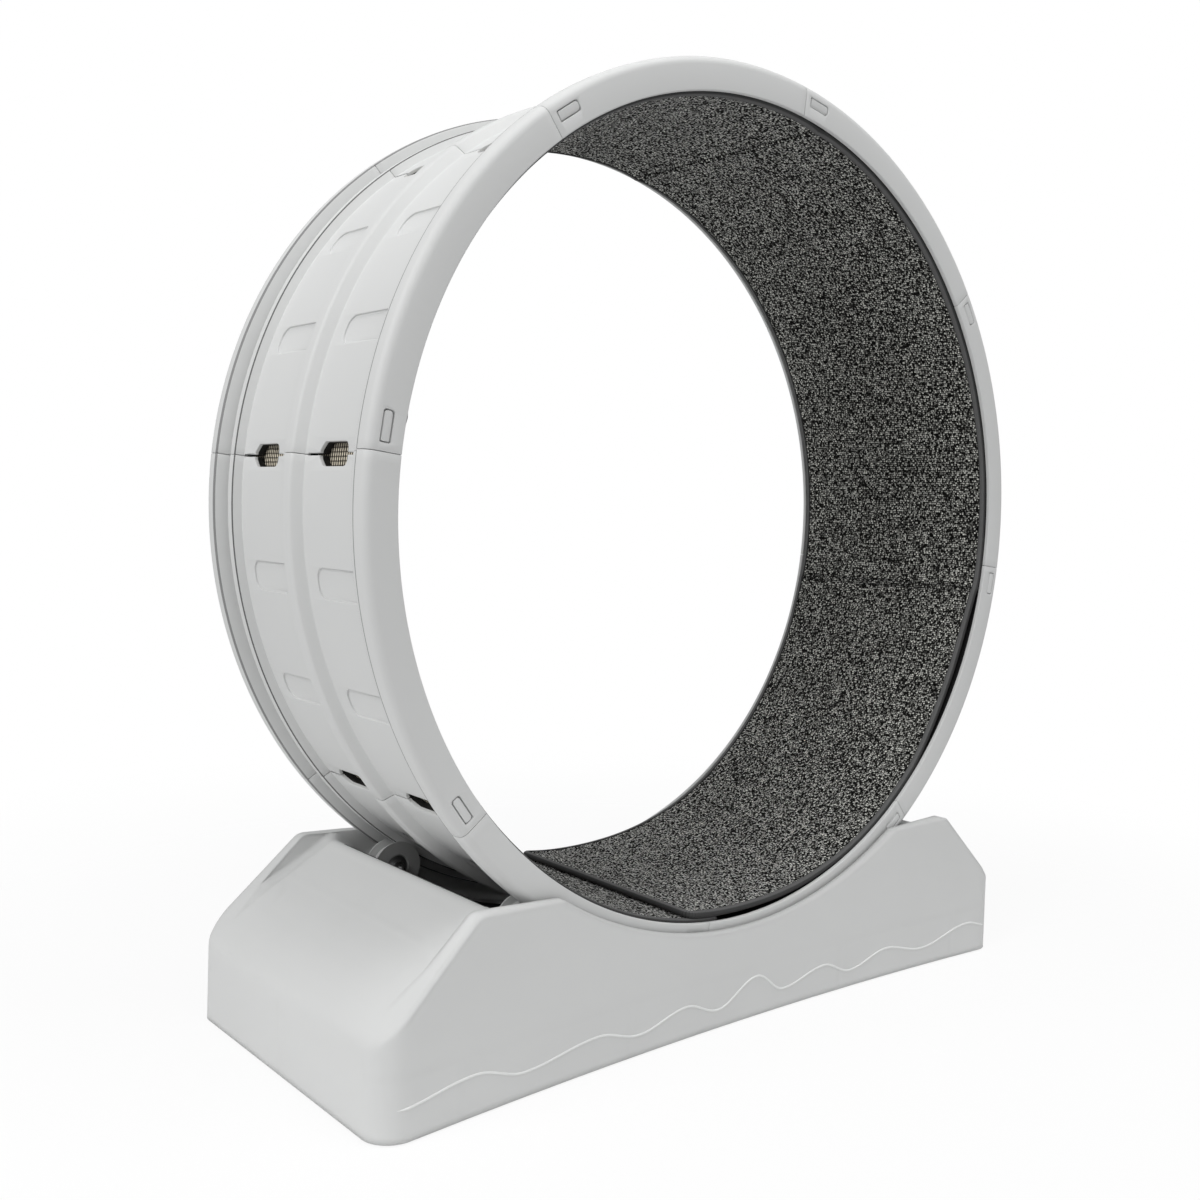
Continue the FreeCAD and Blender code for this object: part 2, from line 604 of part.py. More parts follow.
def outer_body():
    """The base's outside: its plan, the side view of its walls, and the saddle."""
    block = plan_block(0, EDGE_Z, WALL_TOP_Z + WALL_EDGE_ROUND)
    profile = prism_along_y(wall_profile(), BASE_END_HALF_DEPTH)
    body = block.common(profile).cut(saddle_cutter())
    saddle_corners = []
    for edge in body.Edges:
        box = edge.BoundBox
        across = box.XLength < 0.01 and box.YLength > BASE_WAIST_HALF_DEPTH
        at_top = box.ZMin > WALL_TOP_Z - 1
        if across and at_top and abs(abs(box.Center.x) - SADDLE_START_X) < 1:
            saddle_corners.append(edge)
    body = body.makeFillet(SADDLE_CORNER_ROUND, saddle_corners)
    side_edges = []
    for edge in body.Edges:
        box = edge.BoundBox
        if box.ZMin > EDGE_Z + WALL_EDGE_ROUND and box.YLength < BASE_WAIST_HALF_DEPTH:
            side_edges.append(edge)
    return body.makeChamfer(WALL_EDGE_ROUND / 2, side_edges)


def ramp_and_well_cutter():
    """Everything above the end ramps and inside the well, between the two walls."""
    slope = slope_angle()
    lip_x = RAMP_LIP_X
    lip_z = RAMP_LIP_Z
    ramp = math.radians(RAMP_ANGLE)
    steep = math.radians(slope - RAMP_RUNOUT_ANGLE)
    # The ramp's line and the wall's slope cross here, measured outwards from the lip.
    drop = WALL_ABOVE_LIP + SLOPE_SETBACK * math.tan(math.radians(slope))
    cross = drop / (math.tan(math.radians(slope)) - math.tan(ramp))
    bend = RAMP_BLEND_RADIUS * math.tan((steep - ramp) / 2)
    cross_z = lip_z - cross * math.tan(ramp)
    run = BASE_HALF_LENGTH - lip_x
    top = AXIS_Z
    outer_x = lip_x + cross + run
    outer_z = cross_z - run * math.tan(steep)
    lip_reach = RAMP_LIP_ROUND
    well_angle = math.atan2(AXIS_Z - lip_z, lip_x)
    half_turn = (math.pi / 2 + ramp - well_angle) / 2
    reach = lip_reach / math.tan(math.pi / 2 - half_turn)
    edges = []

    def side(sign):
        def at(x, z):
            return side_point(sign * x, z)
        start = at(outer_x, outer_z)
        bend_in = at(lip_x + cross + bend * math.cos(steep), cross_z - bend * math.sin(steep))
        bend_out = at(lip_x + cross - bend * math.cos(ramp), cross_z + bend * math.sin(ramp))
        middle_angle = (steep + ramp) / 2
        sag = RAMP_BLEND_RADIUS / math.cos((steep - ramp) / 2) - RAMP_BLEND_RADIUS
        bend_mid = at(lip_x + cross - sag * math.sin(middle_angle),
                      cross_z - sag * math.cos(middle_angle))
        lip_in = at(lip_x + reach * math.cos(ramp), lip_z - reach * math.sin(ramp))
        past = well_angle + math.asin(reach / WELL_RADIUS)
        lip_out = at(WELL_RADIUS * math.cos(past), AXIS_Z - WELL_RADIUS * math.sin(past))
        down = well_angle
        inward_x = (math.cos(ramp) - math.sin(down)) / 2
        inward_z = (-math.sin(ramp) - math.cos(down)) / 2
        size = math.hypot(inward_x, inward_z)
        depth = lip_reach / math.cos(half_turn) - lip_reach
        lip_mid = at(lip_x + inward_x / size * depth, lip_z + inward_z / size * depth)
        return start, bend_in, bend_mid, bend_out, lip_in, lip_mid, lip_out

    left = side(-1)
    right = side(1)
    for points in (left, right):
        start, bend_in, bend_mid, bend_out, lip_in, lip_mid, lip_out = points
        edges.append(Part.makeLine(start, bend_in))
        edges.append(Part.Arc(bend_in, bend_mid, bend_out).toShape())
        edges.append(Part.makeLine(bend_out, lip_in))
        edges.append(Part.Arc(lip_in, lip_mid, lip_out).toShape())
    well = Part.Arc(left[-1], side_point(0, AXIS_Z - WELL_RADIUS), right[-1]).toShape()
    edges.append(well)
    top_left = side_point(-outer_x, top)
    top_right = side_point(outer_x, top)
    edges.append(Part.makeLine(left[0], top_left))
    edges.append(Part.makeLine(top_left, top_right))
    edges.append(Part.makeLine(top_right, right[0]))
    wire = Part.Wire(Part.__sortEdges__(edges))
    cutter = prism_along_y(wire, WALL_INNER_Y)
    low = [edge for edge in cutter.Edges
           if abs(abs(edge.BoundBox.Center.y) - WALL_INNER_Y) < 0.01
           and edge.BoundBox.ZMax < WALL_TOP_Z and edge.BoundBox.YLength < 0.01]
    return cutter.makeChamfer(WELL_EDGE_BEVEL, low)


def roller_pockets():
    pocket = disc_along_y(POCKET_RADIUS, POCKET_INNER_Y, WALL_INNER_Y)
    return [at_roller(pocket, side, end) for _, side, end in ROLLER_PLACES]


def roller_bosses():
    """Boss for each axle bolt, with a web to the pocket's floor, and its socket."""
    outer = WALL_INNER_Y + SHELL_THICKNESS / 2
    half = BOSS_WEB_THICKNESS / 2
    boss = disc_along_y(BOSS_RADIUS, BOSS_START_Y, outer)
    web = box_between(-half, half, BOSS_START_Y + 2, outer, -POCKET_RADIUS - 2, 0)
    socket = disc_along_y(AXLE_RADIUS, BOSS_START_Y - 1, BOSS_START_Y + AXLE_SOCKET_DEPTH)
    boss = boss.fuse(web)
    bosses = [at_roller(boss, side, end) for _, side, end in ROLLER_PLACES]
    sockets = [at_roller(socket, side, end) for _, side, end in ROLLER_PLACES]
    return bosses, sockets


def foot_centres():
    return [(x, y) for x in (-FOOT_X, FOOT_X) for y in (-FOOT_Y, FOOT_Y)]


def underside_hollow():
    """The open space under the base, divided by ribs and foot posts."""
    wall = SHELL_THICKNESS
    block = plan_block(wall, EDGE_Z - 10, WALL_TOP_Z)
    slope = math.radians(slope_angle())
    ramp = math.radians(RAMP_ANGLE)
    end = BASE_HALF_LENGTH
    end_z = SLOPE_FOOT_Z - wall / math.cos(slope) - wall
    peak_x = RAMP_LIP_X + 2 * wall
    peak_z = RAMP_LIP_Z - 2 * wall * math.tan(ramp) - wall / math.cos(ramp)
    # Below both the slope and the ramp, with the lower of the two at each place.
    far_x = peak_x + (peak_z - end_z - (end - peak_x) * math.tan(slope)) / (
        math.tan(ramp) - math.tan(slope))
    far_z = peak_z - (far_x - peak_x) * math.tan(ramp)
    corners = [
        (-end, EDGE_Z - 20, 0), (-end, end_z, 0), (-far_x, far_z, 0), (-peak_x, peak_z, 0),
        (peak_x, peak_z, 0), (far_x, far_z, 0), (end, end_z, 0), (end, EDGE_Z - 20, 0),
    ]
    between_walls = prism_along_y(rounded_outline(corners, side_point), WALL_INNER_Y - wall)
    skirt = box_between(-end, end, -BASE_END_HALF_DEPTH, BASE_END_HALF_DEPTH,
                        EDGE_Z - 10, EDGE_Z + SKIRT_HOLLOW_HEIGHT)
    hollow = block.common(between_walls.fuse(skirt))
    keep = [disc_along_y(WELL_RADIUS + wall, -FAR_BEYOND, FAR_BEYOND, 0, AXIS_Z)]
    pocket = disc_along_y(POCKET_RADIUS + wall, -FAR_BEYOND, FAR_BEYOND, 0, 0)
    for end_sign in (-1, 1):
        around = pocket.copy()
        around.translate(V(end_sign * ROLLER_X, 0, ROLLER_Z))
        keep.append(around)
    rib_low = EDGE_Z + RIB_LIFT
    half = RIB_THICKNESS / 2
    for x in RIB_PLACES:
        for sign in (-1, 1):
            keep.append(box_between(sign * x - half, sign * x + half, -BASE_END_HALF_DEPTH,
                                    BASE_END_HALF_DEPTH, rib_low, WALL_TOP_Z))
    keep.append(box_between(-end, end, -half, half, rib_low, WALL_TOP_Z))
    for x, y in foot_centres():
        post = FOOT_RADIUS + wall
        keep.append(Part.makeCylinder(post, WALL_TOP, V(x, y, EDGE_Z), V(0, 0, 1)))
    return hollow.cut(keep)


def base_shell():
    body = outer_body()
    body = body.cut(ramp_and_well_cutter())
    body = body.cut(roller_pockets())
    bosses, sockets = roller_bosses()
    body = body.fuse(bosses).cut(sockets)
    body = body.cut(underside_hollow())
    recess = [Part.makeCylinder(FOOT_RADIUS, FOOT_RECESS, V(x, y, EDGE_Z), V(0, 0, 1))
              for x, y in foot_centres()]
    return tidy(body.cut(recess))


def base_feet():
    height = EDGE_Z + FOOT_RECESS
    pads = []
    for x, y in foot_centres():
        pads.append(Part.makeCylinder(FOOT_RADIUS, height, V(x, y, 0), V(0, 0, 1)))
    return Part.makeCompound(pads)


def main():
    os.makedirs("parts", exist_ok=True)
    save(base_shell(), "base_shell")
    save(base_feet(), "base_feet")
    for number, segment in enumerate(wheel_segments(), 1):
        save(segment, "wheel_segment_" + str(number))
    pile, backing, binding = mat_layers()
    save(pile, "mat_pile")
    save(backing, "mat_backing")
    save(binding, "mat_binding")
    for name, side, end in ROLLER_PLACES:
        save(at_roller(grooved_roller(), side, end), "roller_" + name)
        save(at_roller(bearing_outer(), side, end), "roller_bearings_" + name)
    save(at_every_roller(bearing_inner()), "bearing_inner_rings")
    save(at_every_roller(axle_bolt()), "axle_bolts")


main()
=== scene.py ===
import json
import math

import bmesh
import bpy
import numpy as np
from mathutils import Matrix, Vector
from mathutils.bvhtree import BVHTree


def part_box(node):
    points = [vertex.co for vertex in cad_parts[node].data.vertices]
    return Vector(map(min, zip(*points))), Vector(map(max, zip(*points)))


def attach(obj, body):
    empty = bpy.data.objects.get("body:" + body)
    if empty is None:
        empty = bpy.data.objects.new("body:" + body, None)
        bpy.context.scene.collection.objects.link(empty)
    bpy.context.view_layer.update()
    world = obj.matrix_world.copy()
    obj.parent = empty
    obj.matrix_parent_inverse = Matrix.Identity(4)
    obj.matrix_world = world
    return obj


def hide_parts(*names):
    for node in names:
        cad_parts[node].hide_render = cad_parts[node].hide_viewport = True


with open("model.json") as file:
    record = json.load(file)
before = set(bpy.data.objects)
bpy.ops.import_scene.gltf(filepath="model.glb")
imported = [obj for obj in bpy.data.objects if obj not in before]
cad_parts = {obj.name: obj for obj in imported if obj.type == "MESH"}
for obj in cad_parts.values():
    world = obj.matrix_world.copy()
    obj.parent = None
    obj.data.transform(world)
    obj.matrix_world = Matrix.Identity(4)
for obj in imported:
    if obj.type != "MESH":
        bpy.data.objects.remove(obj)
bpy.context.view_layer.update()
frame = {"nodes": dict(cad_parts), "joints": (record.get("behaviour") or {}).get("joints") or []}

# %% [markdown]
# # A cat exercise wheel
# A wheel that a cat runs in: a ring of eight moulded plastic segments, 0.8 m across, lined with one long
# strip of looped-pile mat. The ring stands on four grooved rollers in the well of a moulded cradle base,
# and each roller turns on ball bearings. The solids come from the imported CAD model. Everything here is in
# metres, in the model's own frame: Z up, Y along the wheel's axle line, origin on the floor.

joints = {joint["name"]: joint for joint in frame["joints"]}
WHEEL_CENTRE_Z = joints["wheel_spin"]["pos_m"][2]


def node_points(node):
    """The vertices of a CAD node, one row each."""
    mesh = frame["nodes"][node].data
    points = np.empty(len(mesh.vertices) * 3, np.float32)
    mesh.vertices.foreach_get("co", points)
    return points.reshape(-1, 3).astype(float)


def node_radii(node):
    """Least and greatest distance of a node's vertices from the wheel's axle line."""
    points = node_points(node)
    radii = np.hypot(points[:, 0], points[:, 2] - WHEEL_CENTRE_Z)
    return radii.min(), radii.max()


# %% [markdown]
# ## Working surfaces
# A shape could be pushed and pulled by hand, but then nobody can say what size it is. Here every new piece
# is a numpy surface: a grid of points worked out from a formula, made into a mesh in one go. A sheet gets
# its own UV map in metres, so that a weave or a row of loops keeps its real size.

# %% Mesh helpers
def plain_mesh(name, points, faces):
    """A mesh from points (n, 3) and faces of any number of corners, turned to face outwards."""
    mesh = bpy.data.meshes.new(name)
    mesh.from_pydata(points.reshape(-1, 3).tolist(), [], faces)
    shape = bmesh.new()
    shape.from_mesh(mesh)
    bmesh.ops.recalc_face_normals(shape, faces=shape.faces)
    shape.to_mesh(mesh)
    shape.free()
    return mesh


def show(name, mesh, material, body):
    """A piece of the object made of a mesh: smooth, in its finish, riding on its body."""
    mesh.polygons.foreach_set("use_smooth", np.full(len(mesh.polygons), True))
    mesh.materials.clear()
    mesh.materials.append(material)
    piece = bpy.data.objects.new(name, mesh)
    bpy.context.scene.collection.objects.link(piece)
    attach(piece, body)
    return piece


def surface_piece(name, points, faces, material, body, uv=None):
    """A piece from whole arrays: points (n, 3), quads (m, 4), and a place on the cloth per point (n, 2)."""
    mesh = bpy.data.meshes.new(name)
    mesh.from_pydata(points.tolist(), [], faces.tolist())
    if uv is not None:
        layer = mesh.uv_layers.new(name="metres")
        corners = np.empty(len(mesh.loops), np.int32)
        mesh.loops.foreach_get("vertex_index", corners)
        layer.data.foreach_set("uv", uv[corners].astype(np.float32).ravel())
    mesh.validate()
    return show(name, mesh, material, body)


def grid_faces(rows, columns, close_rows=False, close_columns=False):
    """Quads of a grid of points, row by row, joined end to end where it closes."""
    r = np.arange(rows if close_rows else rows - 1)
    c = np.arange(columns if close_columns else columns - 1)
    r0, c0 = np.meshgrid(r, c, indexing="ij")
    r1, c1 = (r0 + 1) % rows, (c0 + 1) % columns
    quads = np.stack([r0 * columns + c0, r0 * columns + c1, r1 * columns + c1, r1 * columns + c0], -1)
    return quads.reshape(-1, 4)


def on_wheel(angle, y, radius):
    """Points at an angle (radians, from +X towards +Z), a place across and a radius on the wheel."""
    angle, y, radius = np.broadcast_arrays(angle, y, radius)
    return np.stack([radius * np.cos(angle), y, WHEEL_CENTRE_Z + radius * np.sin(angle)], -1)


def rounded_outline(corners, steps=5):
    """A closed outline through corners (a, b, rounding): an arc of that radius stands for each corner.

    With h half the angle between a corner's two sides, its arc starts rounding / tan(h) away from it and
    its centre is rounding / sin(h) away, on the line that halves the angle."""
    corners = np.array(corners, float)
    place, rounding = corners[:, :2], corners[:, 2]
    back = np.roll(place, 1, 0) - place
    ahead = np.roll(place, -1, 0) - place
    back /= np.linalg.norm(back, axis=1, keepdims=True)
    ahead /= np.linalg.norm(ahead, axis=1, keepdims=True)
    half = np.arccos(np.clip((back * ahead).sum(1), -1, 1)) / 2
    middle = (back + ahead) / np.linalg.norm(back + ahead, axis=1, keepdims=True)
    centre = place + middle * (rounding / np.sin(half))[:, None]
    reach = (rounding / np.tan(half))[:, None]
    first, last = place + back * reach - centre, place + ahead * reach - centre
    turn = (math.pi - 2 * half)[:, None]
    share = np.linspace(0, 1, steps)[None]
    weight_first = np.sin((1 - share) * turn) / np.sin(turn)
    weight_last = np.sin(share * turn) / np.sin(turn)
    arcs = centre[:, None] + first[:, None] * weight_first[..., None]
    arcs = arcs + last[:, None] * weight_last[..., None]
    return arcs.reshape(-1, 2)


def inset(outline, depth):
    """The outline moved inwards by a depth, each point along the mean normal of its two sides."""
    ahead = np.roll(outline, -1, 0) - np.roll(outline, 1, 0)
    ahead /= np.linalg.norm(ahead, axis=1, keepdims=True)
    area = (outline[:, 0] * np.roll(outline[:, 1], -1) - outline[:, 1] * np.roll(outline[:, 0], -1)).sum()
    return outline + math.copysign(depth, area) * np.stack([-ahead[:, 1], ahead[:, 0]], -1)


def lofted(name, rings):
    """The closed mesh through rings of points (rings, points, 3), with a face over each end."""
    count, around = rings.shape[:2]
    faces = grid_faces(count, around, False, True).tolist()
    last = (count - 1) * around
    return plain_mesh(name, rings, faces + [list(range(around)), list(range(last, last + around))])


# %% [markdown]
# ## Finishes
# The wheel is matt moulded plastic with a looped-pile mat in it. Pictures of such surfaces would show
# their edges and repeat, so each finish is built from procedural textures in the piece's own metres: a
# fine mould grain on the plastic, loops in rows on the mat's pile, ribs on the edge tape and a coarse weave
# on the backing.

# %% Material helpers
def new_material(name, **constants):
    """A material with one shader, whose constant values are set by their socket's name."""
    material = bpy.data.materials.new(name)
    material.use_nodes = True
    tree = material.node_tree
    shader = tree.nodes["Principled BSDF"]
    for socket, value in constants.items():
        shader.inputs[socket.replace("_", " ")].default_value = value
    return material, tree, shader


def add(tree, kind, inputs=None, **settings):
    """A node with its settings, each input a constant or another node's socket."""
    node = tree.nodes.new("ShaderNode" + kind)
    for name, value in settings.items():
        setattr(node, name, value)
    for socket, value in (inputs or {}).items():
        if isinstance(value, bpy.types.NodeSocket):
            tree.links.new(value, node.inputs[socket])
        else:
            node.inputs[socket].default_value = value
    return node


def maths(tree, operation, a, b=0.0):
    """One step of arithmetic on two values, each a constant or a socket."""
    return add(tree, "Math", {0: a, 1: b}, operation=operation).outputs[0]


def ramp(tree, factor, stops):
    """A colour ramp through (place, grey or colour) stops."""
    node = add(tree, "ValToRGB", {"Fac": factor})
    elements = node.color_ramp.elements
    while len(elements) < len(stops):
        elements.new(0.5)
    for element, (place, colour) in zip(elements, stops):
        element.position = place
        element.color = (*colour, 1) if isinstance(colour, tuple) else (colour, colour, colour, 1)
    return node.outputs["Color"]


def bump(tree, shader, height, distance, strength=1.0):
    """Dents in a surface: a height of 1 stands out by the distance, in metres."""
    node = add(tree, "Bump", {"Height": height, "Distance": distance, "Strength": strength})
    tree.links.new(node.outputs["Normal"], shader.inputs["Normal"])
    return node


# %% Plastic: cool light grey, matt, with a fine mould grain
def round_zone(tree, place, centre, radii, widths):
    """1 between two radii from a line along Y and between two distances across from the middle, else 0.
    Both halves of the object, left and right, are folded onto one."""
    folded = add(tree, "VectorMath", {0: place}, operation="ABSOLUTE").outputs[0]
    middle = (centre[0], 0, centre[1])
    away = add(tree, "VectorMath", {0: folded, 1: middle}, operation="SUBTRACT").outputs[0]
    upright = add(tree, "VectorMath", {0: away, 1: (1, 0, 1)}, operation="MULTIPLY").outputs[0]
    radius = add(tree, "VectorMath", {0: upright}, operation="LENGTH").outputs["Value"]
    across = add(tree, "SeparateXYZ", {0: folded}).outputs["Y"]
    inside = 1.0
    for value, (low, high) in ((radius, radii), (across, widths)):
        inside = maths(tree, "MULTIPLY", inside, maths(tree, "LESS_THAN", low, value))
        inside = maths(tree, "MULTIPLY", inside, maths(tree, "LESS_THAN", value, high))
    return inside


def moulded_plastic(name, colour, edge=0.0, painted_shade_zones=()):
    """Fine grain about 0.5 mm across, and a faint cloudiness in its colour and shine.

    Edges look rounded by the radius given as edge. Each zone of painted shade has its own grey. The zones
    are read from where the photo is nearly black, and their grey is painted shade, not the plastic's
    colour."""
    material, tree, shader = new_material(name, Roughness=0.5, Specular_IOR_Level=0.35)
    place = add(tree, "TexCoord").outputs["Object"]
    cloud = add(tree, "TexNoise", {"Vector": place, "Scale": 7.0, "Detail": 4.0})
    tone = ramp(tree, cloud.outputs["Fac"], [(0.3, tuple(0.975 * c for c in colour)), (0.7, colour)])
    for grey, *zone in painted_shade_zones:
        tone = add(tree, "Mix", {0: round_zone(tree, place, *zone), 6: tone, 7: (grey, grey, grey, 1)},
                   data_type="RGBA").outputs[2]
    tree.links.new(tone, shader.inputs["Base Color"])
    shine = add(tree, "MapRange", {"Value": cloud.outputs["Fac"], "To Min": 0.46, "To Max": 0.56})
    tree.links.new(shine.outputs["Result"], shader.inputs["Roughness"])
    grain = add(tree, "TexNoise", {"Vector": place, "Scale": 1900.0, "Detail": 2.0})
    surface = bump(tree, shader, grain.outputs["Fac"], 0.00006, 0.6)
    if edge:
        soft = add(tree, "Bevel", {"Radius": edge}, samples=6)
        tree.links.new(soft.outputs["Normal"], surface.inputs["Normal"])
    return material


PLASTIC_GREY = (0.66, 0.665, 0.66)
AXLE = (0.0, WHEEL_CENTRE_Z)
ROLLER_AXLE = (0.2264, 0.1270)
# The ring's zones are painted shade: nearly black in the channel under the mat, and thin dark lines along
# the rails' inner edges and the rims' inner top edges.
plastic = moulded_plastic("grey_moulded_plastic", PLASTIC_GREY, 0.0, [
    (0.012, AXLE, (0.0, 0.3812), (0.0, 0.1334)),
    (0.12, AXLE, (0.3900, 0.3925), (0.1031, 0.1040)),
    (0.24, AXLE, (0.3978, 0.4010), (0.1209, 0.1233))])
# The base's zones are painted shade: nearly black in the well under the ring and in the roller pockets.
base_plastic = moulded_plastic("base_moulded_plastic", PLASTIC_GREY, 0.009, [
    (0.010, AXLE, (0.0, 0.4195), (0.0, 0.118)),
    (0.012, ROLLER_AXLE, (0.0, 0.0290), (0.0, 0.132))])
# The wave line's plastic is 1.2 times lighter than the rest: a painted highlight along the raised line.
line_plastic = moulded_plastic("wave_line_painted_highlight", tuple(1.2 * c for c in PLASTIC_GREY))
# The rollers are of the same light grey plastic as the ring; their darker grey here is painted shade from
# the ring above them.
roller_plastic = moulded_plastic("roller_plastic", (0.46, 0.465, 0.46))


# %% Mat pile: loops in rows across the width, flecked light and dark
LOOP_ALONG = 0.0023
LOOP_ACROSS = 0.0022
LOOP_ROW = 0.0046


def loop_pile(name):
    """Loops about 2.2 mm across in rows, each with its own grey; the gaps between them are painted nearly
    black and the grooves between rows darker, as painted shade.
    The loops' tops have a faint sheen of fibre ends."""
    material, tree, shader = new_material(name, Roughness=0.95, Specular_IOR_Level=0.05)
    shader.inputs["Sheen Roughness"].default_value = 0.5
    uv = add(tree, "UVMap", uv_map="metres").outputs["UV"]
    loops = add(tree, "Mapping", {"Vector": uv, "Scale": (1 / LOOP_ALONG, 1 / LOOP_ACROSS, 1)}).outputs[0]
    cells = add(tree, "TexVoronoi", {"Vector": loops, "Scale": 1.0, "Randomness": 0.6})
    grey = add(tree, "SeparateColor", {"Color": cells.outputs["Color"]}).outputs[0]
    tone = ramp(tree, grey, [(0.05, (0.20, 0.20, 0.18)), (0.50, (0.52, 0.52, 0.48)),
                             (0.95, (1.0, 1.0, 0.93))])
    # Gaps between loops and grooves between rows are darkened: painted shade.
    depth = ramp(tree, cells.outputs["Distance"], [(0.28, 1.0), (0.56, 0.01)])
    shaded = add(tree, "Mix", {0: 1.0, 6: tone, 7: depth}, data_type="RGBA", blend_type="MULTIPLY")
    along = add(tree, "SeparateXYZ", {"Vector": uv}).outputs["X"]
    row = maths(tree, "PINGPONG", maths(tree, "DIVIDE", along, LOOP_ROW), 0.5)
    groove = ramp(tree, row, [(0.03, 0.3), (0.14, 1.0)])
    rows = add(tree, "Mix", {0: 1.0, 6: shaded.outputs[2], 7: groove}, data_type="RGBA",
               blend_type="MULTIPLY")
    # The two lines at each crease are darkened nearly to black: painted shade in the folds.
    creased = add(tree, "Attribute", attribute_name="creased").outputs["Fac"]
    crease_shade = add(tree, "Mix", {0: maths(tree, "MULTIPLY", creased, 0.75), 6: rows.outputs[2],
                             7: (0.006, 0.006, 0.006, 1)}, data_type="RGBA")
    tree.links.new(crease_shade.outputs[2], shader.inputs["Base Color"])
    tree.links.new(depth, shader.inputs["Sheen Weight"])
    height = maths(tree, "SUBTRACT", 1.0, cells.outputs["Distance"])
    bump(tree, shader, height, 0.0014, 0.9)
    return material


pile = loop_pile("grey_loop_pile")


# %% Edge tape: fine ribs across it and a line of painted shade beside the pile
def edge_tape(name):
    """u runs along the tape and v across it, in metres, from the pile's side at v = 0: ribs across the
    tape, a dark line of painted shade in its first 2 mm, and shade where it rolls over its outer edge."""
    material, tree, shader = new_material(name, Roughness=0.8, Specular_IOR_Level=0.3)
    uv = add(tree, "UVMap", uv_map="metres").outputs["UV"]
    across = add(tree, "SeparateXYZ", {"Vector": uv}).outputs["Y"]
    ribs = add(tree, "TexWave", {"Vector": uv, "Scale": 260.0, "Distortion": 0.6}, bands_direction="X")
    noise = add(tree, "TexNoise", {"Vector": uv, "Scale": 900.0, "Detail": 2.0})
    height = maths(tree, "ADD", ribs.outputs["Fac"], noise.outputs["Fac"])
    tone = ramp(tree, height, [(0.2, 0.065), (0.9, 0.145)])
    # The first 2 mm beside the pile are darkened: painted shade where the tape meets the pile.
    pile_side_shade = add(tree, "MapRange", {"Value": across, "From Min": 0.0012, "From Max": 0.0020, "To Min": 0.22,
                                  "To Max": 1.0}).outputs["Result"]
    rolled = add(tree, "MapRange", {"Value": across, "From Min": 0.0054, "From Max": 0.0064, "To Min": 1.0,
                                    "To Max": 0.35}).outputs["Result"]
    shaded = add(tree, "Mix", {0: 1.0, 6: tone, 7: maths(tree, "MULTIPLY", pile_side_shade, rolled)},
                 data_type="RGBA", blend_type="MULTIPLY")
    tree.links.new(shaded.outputs[2], shader.inputs["Base Color"])
    bump(tree, shader, height, 0.0003, 0.7)
    return material


tape = edge_tape("dark_edge_tape")


# %% Backing: a coarse beige weave
def woven_backing(name):
    """Two sets of crossing yarns, about 3.5 mm apart: the product of two waves at a right angle."""
    material, tree, shader = new_material(name, Roughness=0.9, Specular_IOR_Level=0.2)
    uv = add(tree, "UVMap", uv_map="metres").outputs["UV"]
    spacing = {"Vector": uv, "Scale": 90.0, "Distortion": 0.8, "Detail": 1.0}
    warp = add(tree, "TexWave", dict(spacing), bands_direction="X").outputs["Fac"]
    weft = add(tree, "TexWave", dict(spacing), bands_direction="Y").outputs["Fac"]
    height = maths(tree, "MULTIPLY", ramp(tree, warp, [(0.1, 0.3), (0.5, 1.0)]),
                   ramp(tree, weft, [(0.3, 0.05), (0.6, 1.0)]))
    tone = ramp(tree, height, [(0.10, (0.020, 0.017, 0.012)), (0.80, (0.74, 0.67, 0.54))])
    tree.links.new(tone, shader.inputs["Base Color"])
    bump(tree, shader, height, 0.0006, 0.9)
    return material


backing = woven_backing("beige_woven_backing")


# %% Rubber and steel
def rubber_finish(name):
    """Black rubber, with a fine grain and a faint change of grey."""
    material, tree, shader = new_material(name, Roughness=0.85, Specular_IOR_Level=0.3)
    place = add(tree, "TexCoord").outputs["Object"]
    noise = add(tree, "TexNoise", {"Vector": place, "Scale": 700.0, "Detail": 3.0})
    tone = ramp(tree, noise.outputs["Fac"], [(0.3, 0.018), (0.7, 0.030)])
    tree.links.new(tone, shader.inputs["Base Color"])
    bump(tree, shader, noise.outputs["Fac"], 0.0001, 0.5)
    return material


def turned_steel(name, grey, roughness):
    """Bare steel with the fine streaks that turning or plating leaves."""
    material, tree, shader = new_material(name, Metallic=1.0, Roughness=roughness)
    place = add(tree, "TexCoord").outputs["Object"]
    streaks = add(tree, "TexNoise", {"Vector": place, "Scale": 1100.0, "Detail": 3.0})
    tone = ramp(tree, streaks.outputs["Fac"], [(0.3, grey * 0.85), (0.7, grey)])
    tree.links.new(tone, shader.inputs["Base Color"])
    bump(tree, shader, streaks.outputs["Fac"], 0.00003, 0.5)
    return material


rubber = rubber_finish("black_rubber")
bearing_steel = turned_steel("bearing_steel", 0.30, 0.42)
bolt_steel = turned_steel("bolt_steel", 0.78, 0.26)
hard_finishes = (plastic, base_plastic, line_plastic, roller_plastic, rubber, bearing_steel, bolt_steel)
print("finishes:", [finish.name for finish in hard_finishes + (pile, tape, backing)])


# %% [markdown]
# ## The solids' own finishes
# Feet, rollers, bearings and bolts are turned or simply moulded, and the solids already have their shape.
# So they stay as they are, and only get a better finish in their own slots.

# %% Finishes on the CAD pieces
def finish_nodes(material, *starts):
    """Gives a material to every CAD node whose name starts so."""
    count = 0
    for name, piece in frame["nodes"].items():
        if name.startswith(starts):
            piece.data.materials.clear()
            piece.data.materials.append(material)
            count += 1
    return count


print(finish_nodes(rubber, "base_feet"), "set of feet")
print(finish_nodes(bearing_steel, "roller_bearings", "bearing_inner"), "sets of bearing rings")
print(finish_nodes(roller_plastic, "roller_front", "roller_rear"), "rollers")
print(finish_nodes(bolt_steel, "axle_bolts"), "set of bolts")


